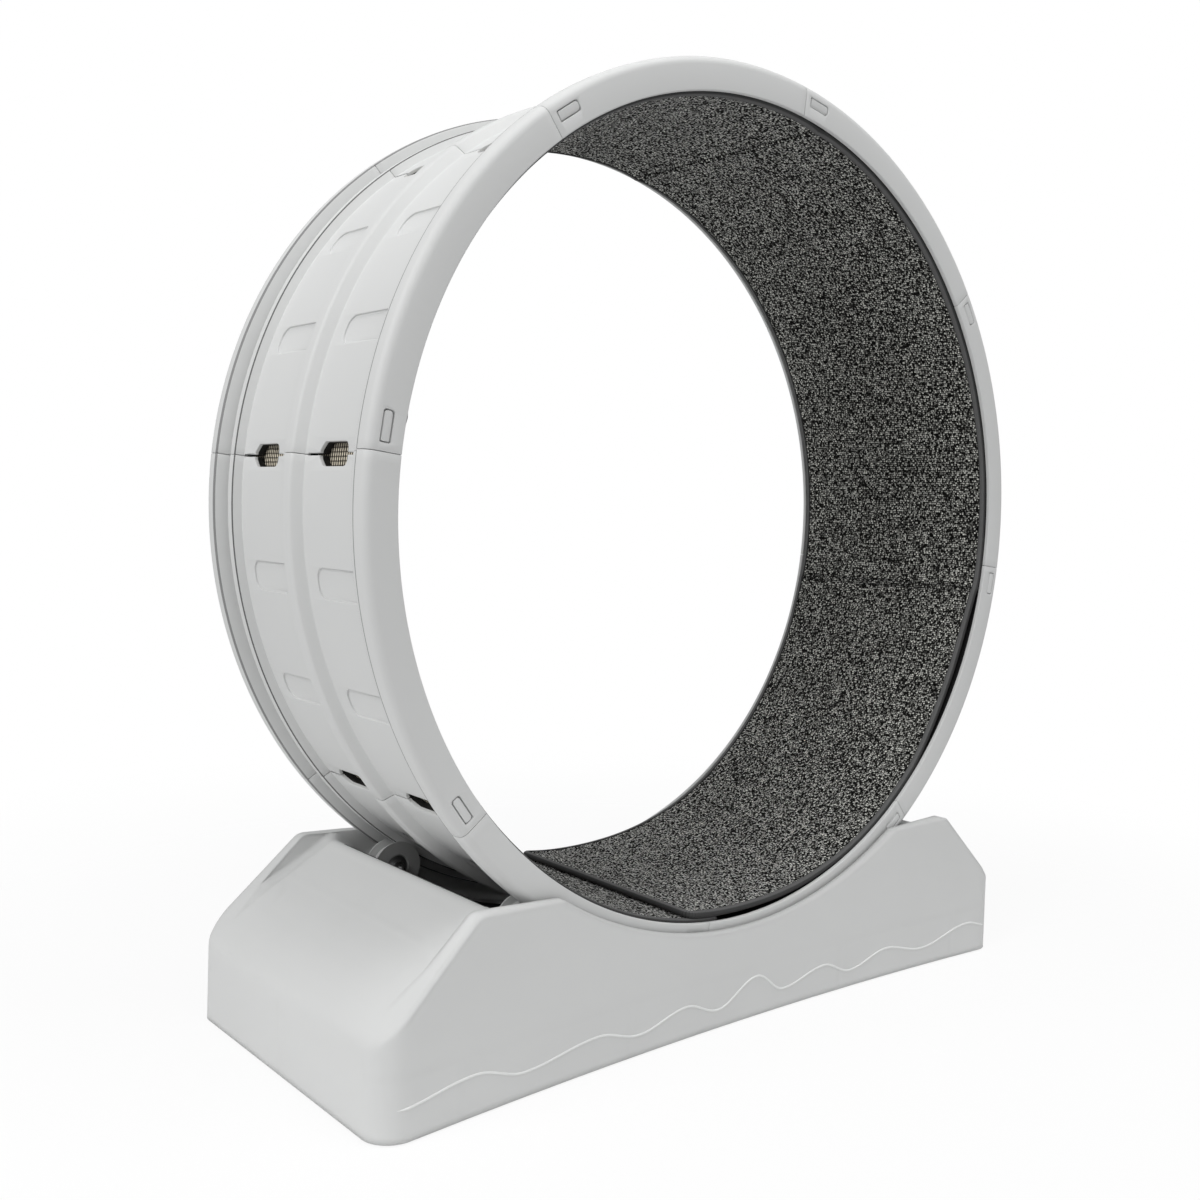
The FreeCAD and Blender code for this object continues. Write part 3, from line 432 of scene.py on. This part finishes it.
# %% [markdown]
# ## The cradle base
# In the photo the near wall dips a few millimetres deeper under the ring than the solid's wall does, so
# that the rim shows as a light band above it. The far wall is hidden, and is taken to be alike. The right
# place to mend this is the solid itself, which was already final when the difference was measured. So this
# base is a copy of the solid whose walls are lowered there; far from the ring it is the same.

# %% The base with its walls lowered under the ring
SADDLE_CENTRE_Z = 0.5050
SADDLE_RADIUS = 0.4080
SADDLE_DROP = 0.0052
SADDLE_FADE = 0.034
SADDLE_END_X = 0.22
WALL_INNER_Y = 0.1405


def lowered_base():
    """The solid's mesh; points of the two walls go down by the drop at the saddle, less and less over the
    next 34 mm away from it, and less at the ends of the saddle than at its middle."""
    mesh = frame["nodes"]["base_shell"].data.copy()
    mesh.name = "cradle_base"
    points = node_points("base_shell")
    beyond = np.hypot(points[:, 0], points[:, 2] - SADDLE_CENTRE_Z) - SADDLE_RADIUS
    share = np.clip(1 - beyond / SADDLE_FADE, 0, 1) * (np.abs(points[:, 1]) > WALL_INNER_Y)
    along = np.clip(np.abs(points[:, 0]) / SADDLE_END_X, 0, 1)
    points[:, 2] -= SADDLE_DROP * share * (1 - 0.35 * along ** 2)
    mesh.vertices.foreach_set("co", points.astype(np.float32).ravel())
    return mesh


base = show("cradle_base", lowered_base(), base_plastic, "base")
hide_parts("base_shell")
print("points in the base:", len(base.data.vertices))


# %% [markdown]
# ## The ring's segments
# On the real ring every edge is rounded, because moulded plastic has no sharp ones: the middle ridge is a
# soft wave, and the rims turn over in a wide bend. A Screw modifier would give the same ring, but not
# the soft ends of a segment. So one segment is its section carried round the axle line, and
# the cut-outs, the pressed panels and the latch windows are carved out of it. Their edges get a small
# bevel. The other seven are copies turned by an eighth of a circle.

# %% The section of the ring
SEGMENTS = 8
SEGMENT_TURN = 2 * math.pi / SEGMENTS
FIRST_SEAM = math.radians(174.3)
SEAM_GAP = 0.0005
RIM_RADIUS = 0.4
SECTIONS = 46
END_RUN = 0.0004
END_SHRINK = [0.0004, 0.00012]
HALF_RING = [  # across, radius, rounding
    (0.0070, 0.3935, 0.0050), (0.0130, 0.3840, 0.0020), (0.1010, 0.3840, 0.0005), (0.1034, 0.3920, 0.0016),
    (0.1116, 0.3920, 0.0016), (0.1140, 0.3840, 0.0008), (0.1180, 0.3840, 0.0020), (0.1210, 0.4000, 0.0022),
    (0.1380, 0.4000, 0.0075), (0.1380, 0.3716, 0.0012), (0.1335, 0.3716, 0.0012), (0.1335, 0.3756, 0.0004)]
ring_outline = rounded_outline(HALF_RING + [(-y, radius, bend) for y, radius, bend in HALF_RING[::-1]], 6)
print("points in the section:", len(ring_outline))


def bare_segment():
    """The section carried from seam to seam; it shrinks by 0.4 mm over the last 0.4 mm of each end."""
    low = SEAM_GAP / 2 / RIM_RADIUS
    high = SEGMENT_TURN - low
    edge = END_RUN / RIM_RADIUS
    turns = np.concatenate([[low, low + 0.3 * edge], np.linspace(low + edge, high - edge, SECTIONS),
                            [high - 0.3 * edge, high]])
    shrink = np.array(END_SHRINK + [0.0] * SECTIONS + END_SHRINK[::-1])
    rings = [on_wheel(turn, *inset(ring_outline, depth).T) for turn, depth in zip(turns, shrink)]
    return lofted("segment", np.array(rings))


# %% Tools that carve it
TOOL_RADII = (0.370, 0.390)
OPENING_MIDDLE = 0.058
OPENING_HALF_LENGTH = 0.022
BAY_STARTS = (0.014, -0.100)
BAY_LENGTH = 0.070
BAY_HALF_WIDTH = 0.0125
BAY_ROUNDING = 0.0095
BAY_SQUARE_END = 0.0004
BAY_FLOOR_RADIUS = 0.3824
LATCH_RADIUS = 0.3865


def through_panel(outline, turn):
    """An outline (across, along the rim) on the plane that touches the ring at an angle, made thick."""
    rings = []
    for radius in TOOL_RADII:
        x = radius * math.cos(turn) - outline[:, 1] * math.sin(turn)
        z = WHEEL_CENTRE_Z + radius * math.sin(turn) + outline[:, 1] * math.cos(turn)
        rings.append(np.stack([x, outline[:, 0], z], -1))
    return lofted("tool", np.array(rings))


def seam_opening(centre):
    """The cut-out with the slot and the notch beside it, from one outline: half of it and its mirror."""
    far, near = centre + OPENING_HALF_LENGTH, centre - OPENING_HALF_LENGTH
    half = [(near - 0.008, 0.0010, 0.0003), (near, 0.0010, 0.0004), (near, 0.0095, 0.0055),
            (far - 0.0065, 0.0095, 0.0045), (far, 0.0030, 0.0030),
            (far, 0.0010, 0.0004), (far + 0.0205, 0.0010, 0.0003)]
    return rounded_outline(half + [(y, -along, bend) for y, along, bend in half[::-1]], 4)


def pressed_outline(near):
    """A bay 70 mm long and 25 mm wide with a square near end and a round far one."""
    far = near + BAY_LENGTH
    return rounded_outline([(near, -BAY_HALF_WIDTH, BAY_SQUARE_END), (far, -BAY_HALF_WIDTH, BAY_ROUNDING),
                            (far, BAY_HALF_WIDTH, BAY_ROUNDING), (near, BAY_HALF_WIDTH, BAY_SQUARE_END)], 7)


def pressed_tool(near, turn):
    """The bay as a solid whose floor follows the ring, 1.6 mm under the panel."""
    tool = scrap(through_panel(pressed_outline(near), turn))
    y = np.array([near - 0.01, near + 0.08, near + 0.08, near - 0.01])
    radius = np.array([0.36, 0.36, BAY_FLOOR_RADIUS, BAY_FLOOR_RADIUS])
    rings = [on_wheel(turn + bend, y, radius) for bend in np.radians(np.linspace(-5, 5, 11))]
    return carve(tool, [lofted("core", np.array(rings))])


def latch_outline(shrink):
    """The latch window on the rim's side: (angle, radius), rounded more at the end away from the seam."""
    near = SEGMENT_TURN - (0.0065 + shrink) / LATCH_RADIUS
    far = SEGMENT_TURN - (0.0305 - shrink) / LATCH_RADIUS
    low, high = 0.3820 + shrink, 0.3910 - shrink
    flat = rounded_outline([(near * LATCH_RADIUS, low, 0.0012), (far * LATCH_RADIUS, low, 0.0024),
                            (far * LATCH_RADIUS, high, 0.0024), (near * LATCH_RADIUS, high, 0.0012)], 5)
    return flat / [LATCH_RADIUS, 1.0]


def latch_pocket(side):
    """The latch window as a tool that cuts into the rim's side."""
    angle, radius = latch_outline(0).T
    rings = [on_wheel(angle, side * y, radius) for y in (0.1340, 0.1400)]
    return lofted("tool", np.array(rings))


def latch_pad(side):
    """The pad in the window: straight walls, a small bevel, and a wide one along its inner side."""
    angle, radius = latch_outline(0.0009).T
    inner = np.clip((LATCH_RADIUS - radius) / 0.0041, 0, 1)
    middle = angle.mean()
    rings = []
    for y, lift, small in ((0.1335, 0, 0), (0.1369, 0, 0), (0.1377, 0.0012, 0.2), (0.1380, 0.0021, 0.5)):
        rings.append(on_wheel(middle + (angle - middle) * (1 - 0.03 * small), side * y,
                              radius + inner * lift - (1 - inner) * 0.0006 * small))
    return lofted("pad", np.array(rings))


# %% Carve the segment
def scrap(mesh):
    """A helper object that isn't part of the model."""
    piece = bpy.data.objects.new(mesh.name, mesh)
    bpy.context.scene.collection.objects.link(piece)
    return piece


def finished_mesh(piece):
    """The mesh that a helper's modifiers give; the helper is cleared away."""
    depsgraph = bpy.context.evaluated_depsgraph_get()
    mesh = bpy.data.meshes.new_from_object(piece.evaluated_get(depsgraph))
    bpy.data.objects.remove(piece)
    return mesh


def carve(piece, tools):
    """Takes each tool away from a helper, one after another."""
    for tool in tools:
        cutter = scrap(tool)
        modifier = piece.modifiers.new("carve", "BOOLEAN")
        modifier.object = cutter
        modifier.operation = "DIFFERENCE"
        modifier.solver = "EXACT"
        mesh = finished_mesh(piece)
        bpy.data.objects.remove(cutter)
        piece = scrap(mesh)
    mesh = piece.data
    bpy.data.objects.remove(piece)
    return mesh


def carved_segment():
    """The segment with its cut-outs, latch windows and pressed bays taken away, and its edges softened."""
    tools = []
    for side in (1, -1):
        opening = seam_opening(side * OPENING_MIDDLE)
        tools += [through_panel(opening, turn) for turn in (0.0, SEGMENT_TURN)]
        tools.append(latch_pocket(side))
    for share in (1 / 3, 2 / 3):
        tools += [pressed_tool(near, share * SEGMENT_TURN) for near in BAY_STARTS]
    piece = scrap(carve(scrap(bare_segment()), tools))
    bevel = piece.modifiers.new("soft_edges", "BEVEL")
    bevel.limit_method = "ANGLE"
    bevel.angle_limit = math.radians(55)
    bevel.width = 0.0006
    bevel.segments = 2
    bevel.use_clamp_overlap = False
    return finished_mesh(piece)


def with_pads(mesh):
    """The carved mesh joined with a latch pad in each of its two windows."""
    shape = bmesh.new()
    shape.from_mesh(mesh)
    for side in (1, -1):
        shape.from_mesh(latch_pad(side))
    shape.to_mesh(mesh)
    shape.free()
    return mesh


segment_mesh = with_pads(carved_segment())
print("faces in one segment:", len(segment_mesh.polygons))


# %% Turn the eight segments into place
def turned_about_axle(mesh, turn):
    """A copy of the mesh turned from +X towards +Z about the axle line."""
    copy = mesh.copy()
    to_axle = Matrix.Translation((0, 0, WHEEL_CENTRE_Z))
    copy.transform(to_axle @ Matrix.Rotation(-turn, 4, "Y") @ to_axle.inverted())
    return copy


for i in range(SEGMENTS):
    placed = turned_about_axle(segment_mesh, FIRST_SEAM - SEGMENT_TURN * (i + 1))
    placed.name = "ring_segment_%d" % (i + 1)
    segment = show(placed.name, placed, plastic, "wheel")
    placed.set_sharp_from_angle(angle=math.radians(32))
    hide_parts("wheel_segment_%d" % (i + 1))
print("segments placed:", SEGMENTS)


# %% [markdown]
# ## The running mat
# One strip of looped pile on a woven backing lies in the ring's channel, all its edges bound in tape. It
# was folded for its journey, so three creases cross it a quarter circle apart. Its first end lies on top
# of its last one, low in the wheel, and climbs down to the channel over the next 32 degrees. A mat this
# stiff barely drapes, so its run is a formula read from the photo's lifts and not a cloth simulation.

# %% Where the mat runs, read from its solids
MAT_START = math.radians(-99.5)
MAT_TURN = math.radians(367.0)
MAT_LIFT_RUN = math.radians(8.0)
MAT_CLIMB_RUN = math.radians(32.0)
TAPE_WIDTH = 0.007
SHEET_EDGE = TAPE_WIDTH * 0.8
CREASE_LINE = 0.0026
CREASE_FADE = 0.0011
CREASES = np.radians([-10.0, 80.0, 170.0])
mat_outer = node_radii("mat_backing")[1]
mat_inner = 0.3693
mat_half_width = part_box("mat_binding")[1].y
MAT_LIFT = mat_outer - mat_inner + 0.0006
MAT_LENGTH = MAT_TURN * mat_inner
print("mat: %.3f m long, %.3f m wide" % (MAT_LENGTH, 2 * mat_half_width))


def mat_lift(angle):
    """How far the strip stands off the channel's floor.

    It is level on top of its own last end, then climbs down evenly. A little peak marks each crease, and
    after the first one the strip runs flatter than the ring, so it stands off by up to 3 mm."""
    share = np.clip((angle - MAT_START - MAT_LIFT_RUN) / MAT_CLIMB_RUN, 0, 1)
    climb = MAT_LIFT * (1 - share * share * (3 - 2 * share))
    away = np.abs(angle[..., None] - CREASES)
    peaks = (0.0018 * np.exp(-away / math.radians(1.5))).sum(-1)
    flat = np.clip((CREASES[0] - angle) / math.radians(44), 0, 1)
    return climb + peaks + 0.0030 * np.sin(math.pi * np.sqrt(flat))


def mat_across(angle, y):
    """Where a point of the strip lies across the wheel: it sits a little towards the near rim, and after
    the first crease its near edge stands up to 4 mm away from that rim."""
    flat = np.clip((CREASES[0] - angle) / math.radians(34), 0, 1)
    pulled = 0.0042 * np.sin(math.pi * flat ** 0.7) * (mat_half_width - y) / (2 * mat_half_width)
    return y - 0.0010 + pulled


def crease_mark(angle):
    """1 on the two fine lines of each crease, 2.6 mm either side of it, fading within 1.5 mm."""
    away = np.abs(np.abs(angle[..., None] - CREASES) * mat_inner - CREASE_LINE)
    return np.clip(1.4 - away / CREASE_FADE, 0, 1).max(-1)


# %% Pile and backing sheets
def mat_sheet(depth, spacing, rough):
    """A bent grid between the tapes at one depth inside the mat, roughened by random loops.

    Rows of points are set closer at the creases."""
    edge = SHEET_EDGE / mat_inner
    half = mat_half_width - SHEET_EDGE
    even = np.linspace(MAT_START + edge, MAT_START + MAT_TURN - edge, int(MAT_LENGTH / spacing))
    close = (CREASES[:, None] + np.linspace(-0.005, 0.005, 15) / mat_inner).ravel()
    away = np.abs(even[:, None] - CREASES).min(-1) * mat_inner
    turns = np.sort(np.concatenate([even[away > 0.0055], close]))
    across = np.linspace(-half, half, int(2 * half / spacing))
    angle, y = np.meshgrid(turns, across, indexing="ij")
    chance = np.random.default_rng(7)
    bumps = rough * (chance.random(angle.shape) + 1.5 * crease_mark(angle))
    radius = mat_outer - depth - mat_lift(angle) + bumps
    uv = np.stack([angle * mat_inner, y], -1).reshape(-1, 2)
    points = on_wheel(angle, mat_across(angle, y), radius).reshape(-1, 3)
    return points, grid_faces(len(turns), len(across)), uv, crease_mark(angle).ravel()


def make_pile():
    """The pile's sheet, with its creases marked for the finish."""
    points, faces, uv, creased = mat_sheet(mat_outer - mat_inner, 0.0027, 0.0007)
    piece = surface_piece("mat_loops", points, faces, pile, "wheel", uv)
    mark = piece.data.attributes.new("creased", "FLOAT", "POINT")
    mark.data.foreach_set("value", creased.astype(np.float32))
    return piece


def make_backing():
    """The backing's sheet, which faces the ring."""
    points, faces, uv, _ = mat_sheet(0.0, 0.006, 0.0)
    return surface_piece("mat_weave", points, faces[:, ::-1], backing, "wheel", uv)


# %% Bound edges
def tape_section(steps=8):
    """The tape's section, flat on both faces and round at its outer edge: (across, depth) pairs."""
    thick = mat_outer - mat_inner + 0.0003
    half = thick / 2
    turn = np.linspace(-math.pi / 2, math.pi / 2, steps)
    outer = np.stack([TAPE_WIDTH - half + half * np.cos(turn), half + half * np.sin(turn)], -1)
    inner_bend = 0.0009
    inner = np.array([[inner_bend, thick], [0.0, thick - inner_bend], [0.0, 0.0005], [0.0005, 0.0]])
    across = np.linspace(TAPE_WIDTH - half, inner_bend, 6)[1:-1]
    flat = np.stack([across, thick + 0.00015 * np.sin(across / TAPE_WIDTH * 9)], -1)
    return np.concatenate([outer, flat, inner])


def tape_path(spacing=0.003):
    """The rounded rectangle round the pile, as (along, across) with the direction outwards in the mat."""
    corner = [MAT_LENGTH / 2 - TAPE_WIDTH, mat_half_width - TAPE_WIDTH]
    loop = rounded_outline([(sx * corner[0], sy * corner[1], 0.004)
                            for sx, sy in ((1, 1), (-1, 1), (-1, -1), (1, -1))], 7)
    steps = np.linalg.norm(np.roll(loop, -1, 0) - loop, axis=1)
    filled = []
    for here, ahead, step in zip(loop, np.roll(loop, -1, 0), steps):
        count = max(1, int(step / spacing))
        filled.append(here + (ahead - here) * np.arange(count)[:, None] / count)
    path = np.concatenate(filled)
    ahead = np.roll(path, -1, 0) - np.roll(path, 1, 0)
    ahead /= np.linalg.norm(ahead, axis=1, keepdims=True)
    return path, np.stack([ahead[:, 1], -ahead[:, 0]], -1)


def make_binding():
    """The tape's section carried round the mat; between the stitched points it wanders by 0.3 mm."""
    path, outward = tape_path()
    if (path * outward).sum() < 0:
        outward = -outward
    section = tape_section()
    along = np.concatenate([[0], np.cumsum(np.linalg.norm(np.diff(path, axis=0), axis=1))])
    wander = 0.0003 * np.sin(along * 41) * np.sin(along * 13)
    place = path[:, None] + outward[:, None] * (section[None, :, :1] + wander[:, None, None])
    angle = MAT_START + MAT_TURN / 2 + place[..., 0] / mat_inner
    radius = mat_outer - section[None, :, 1] - mat_lift(angle)
    points = on_wheel(angle, mat_across(angle, place[..., 1]), radius).reshape(-1, 3)
    faces = grid_faces(len(path), len(section), True, True)
    uv = np.stack(np.broadcast_arrays(along[:, None], section[None, :, 0]), -1).reshape(-1, 2)
    return surface_piece("mat_tape", points, faces, tape, "wheel", uv)


loops, weave, bound_edge = make_pile(), make_backing(), make_binding()
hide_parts("mat_pile")
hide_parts("mat_backing")
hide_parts("mat_binding")
print("mat faces:", len(loops.data.polygons), len(weave.data.polygons), len(bound_edge.data.polygons))


# %% [markdown]
# ## The wavy moulded line
# A thin raised line runs along each long side of the base, like waves with one peak. It starts and ends
# on the rounding of the upright corners. It could be a bump in the finish, but a raised line catches light
# along its edge, so it is a round wire half sunk in the side, laid on by rays cast at the base. The far
# side's line is hidden in the photo, and is taken to be the near one's, turned.

# %% Wavy line on both sides
# Crests and troughs, (x, height above the base's lower edge), chosen along the near side.
WAVE_TURNS = [(-0.3807, 0.0254), (-0.3058, 0.0332), (-0.2551, 0.0209), (-0.1767, 0.0291),
              (-0.1290, 0.0184), (-0.0712, 0.0297), (-0.0315, 0.0175), (0.0204, 0.0388),
              (0.0579, 0.0187), (0.1162, 0.0299), (0.1548, 0.0170), (0.2111, 0.0295),
              (0.2667, 0.0194), (0.3445, 0.0341), (0.3790, 0.0270)]
LINE_RADIUS = 0.0012
LINE_SUNK = 0.0003
LINE_SIDES = 10
EDGE_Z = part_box("base_shell")[0].z
base_surface = BVHTree.FromObject(base, bpy.context.evaluated_depsgraph_get())


def side_depth(x, height):
    """Half depth of the base at places along it and heights: where a ray from the front meets its side."""
    rays = [base_surface.ray_cast((px, -1.0, EDGE_Z + pz), (0, 1, 0))[0] for px, pz in zip(x, height)]
    return -np.array([hit.y for hit in rays])


def wave_height(x):
    """Half cosine waves from turn to turn."""
    places, heights = np.array(WAVE_TURNS).T
    i = np.clip(np.searchsorted(places, x) - 1, 0, len(places) - 2)
    share = np.clip((x - places[i]) / (places[i + 1] - places[i]), 0, 1)
    return heights[i] + (heights[i + 1] - heights[i]) * (1 - np.cos(np.pi * share)) / 2


def wave_line(name, side):
    """A half-sunk round line along one side: side is -1 for the near one, and the far one is turned
    half a circle about the upright axis."""
    x = np.linspace(WAVE_TURNS[0][0], WAVE_TURNS[-1][0], 420)
    height = wave_height(x)
    turn = np.linspace(0, 2 * math.pi, LINE_SIDES, endpoint=False)
    slope = np.gradient(height, x)
    size = np.sqrt(1 + slope ** 2)
    thick = LINE_RADIUS * np.clip((1 - (x / x.max()) ** 2) * 18, 0.15, 1)[:, None]
    points = np.stack([
        x[:, None] - (slope / size)[:, None] * thick * np.cos(turn),
        -(side_depth(x, height)[:, None] - LINE_SUNK + thick * np.sin(turn)),
        EDGE_Z + height[:, None] + (1 / size)[:, None] * thick * np.cos(turn)], -1)
    points[..., :2] *= -side
    return show(name, lofted(name, points), line_plastic, "base")


for name, side in (("wave_line_near", -1), ("wave_line_far", 1)):
    print(name, "faces:", len(wave_line(name, side).data.polygons))


# %% [markdown]
# ## The studio
# The object stands on a pale floor in a white room. Strong lamps would turn its pale plastic into flat
# white, so three soft ones are kept dim: a large one on the left, one overhead and a weak one in front. The
# surround is plain white only to the camera and through clear things; what it sheds on the object, and what
# shines in it, is dimmer.

# %% Camera where the photograph was taken from
CAMERA_PLACE = (-0.84566, -0.95040, 0.46766)
CAMERA_AXES = ((0.741086, 0.031126, -0.670689),
               (-0.670127, 0.096036, -0.736008),
               (0.041500, 0.994891, 0.092029))

camera_data = bpy.data.cameras.new("camera")
camera = bpy.data.objects.new("camera", camera_data)
bpy.context.scene.collection.objects.link(camera)
camera.matrix_world = Matrix.Translation(CAMERA_PLACE) @ Matrix(CAMERA_AXES).to_4x4()
camera_data.sensor_width = 36.0
camera_data.lens = 38.1213
camera_data.shift_x = -0.05566
camera_data.shift_y = 0.03254
camera_data.clip_start = 0.02
bpy.context.scene.camera = camera
print("camera at", CAMERA_PLACE)


# %% Lamps
def area_lamp(name, place, aim, size, power):
    """A square soft lamp at a place, facing a point."""
    data = bpy.data.lights.new(name, "AREA")
    data.shape = "SQUARE"
    data.size = size
    data.energy = power
    lamp = bpy.data.objects.new(name, data)
    bpy.context.scene.collection.objects.link(lamp)
    direction = Vector(aim) - Vector(place)
    turned = direction.to_track_quat("-Z", "Y").to_matrix().to_4x4()
    lamp.matrix_world = Matrix.Translation(place) @ turned
    print(name, power, "W")


area_lamp("key_lamp", (-2.7, -0.1, 2.1), (0, 0, 0.4), 1.8, 44)
area_lamp("side_lamp", (0.8, -2.6, 1.9), (0, 0, 0.4), 1.6, 5)
area_lamp("top_lamp", (0.1, -0.8, 2.8), (0, 0, 0.3), 1.8, 31)


# %% Floor and surround
def studio_floor():
    """A pale floor that keeps a faint shadow and fades out into the white surround."""
    data = bpy.data.meshes.new("floor")
    reach = 4.0
    corners = [(-reach, -reach, 0), (reach, -reach, 0), (reach, reach, 0), (-reach, reach, 0)]
    data.from_pydata(corners, [], [(0, 1, 2, 3)])
    floor = bpy.data.objects.new("floor", data)
    bpy.context.scene.collection.objects.link(floor)
    material, tree, shader = new_material("pale_floor", Roughness=0.9)
    shader.inputs["Base Color"].default_value = (0.90, 0.90, 0.90, 1)
    place = add(tree, "TexCoord").outputs["Object"]
    distance = add(tree, "VectorMath", {0: place}, operation="LENGTH").outputs["Value"]
    fade = add(tree, "MapRange", {"Value": distance, "From Min": 0.55, "From Max": 1.3},
               interpolation_type="SMOOTHSTEP").outputs["Result"]
    glow = add(tree, "Emission", {"Color": (1, 1, 1, 1), "Strength": 1.0})
    seen = maths(tree, "MULTIPLY", add(tree, "LightPath").outputs["Is Camera Ray"], 0.88)
    floor_look = add(tree, "MixShader", {0: seen, 1: shader.outputs[0], 2: glow.outputs[0]})
    clear = add(tree, "BsdfTransparent")
    mix = add(tree, "MixShader", {0: fade, 1: floor_look.outputs[0], 2: clear.outputs[0]})
    tree.links.new(mix.outputs[0], tree.nodes["Material Output"].inputs["Surface"])
    data.materials.append(material)


def white_surround(strength):
    """White to the camera and through clear things, dimmer as a light and in reflections."""
    world = bpy.data.worlds.new("surround")
    world.use_nodes = True
    bpy.context.scene.world = world
    tree = world.node_tree
    light = tree.nodes["Background"]
    light.inputs["Color"].default_value = (0.99, 0.995, 1.0, 1)
    light.inputs["Strength"].default_value = strength
    seen = add(tree, "Background", {"Color": (1, 1, 1, 1), "Strength": 1.0})
    path = add(tree, "LightPath")
    either = maths(tree, "MAXIMUM", path.outputs["Is Camera Ray"], path.outputs["Is Transmission Ray"])
    mix = add(tree, "MixShader", {0: either, 1: light.outputs[0], 2: seen.outputs[0]})
    tree.links.new(mix.outputs[0], tree.nodes["World Output"].inputs["Surface"])


studio_floor()
white_surround(0.46)
bpy.context.scene.view_settings.view_transform = "Standard"
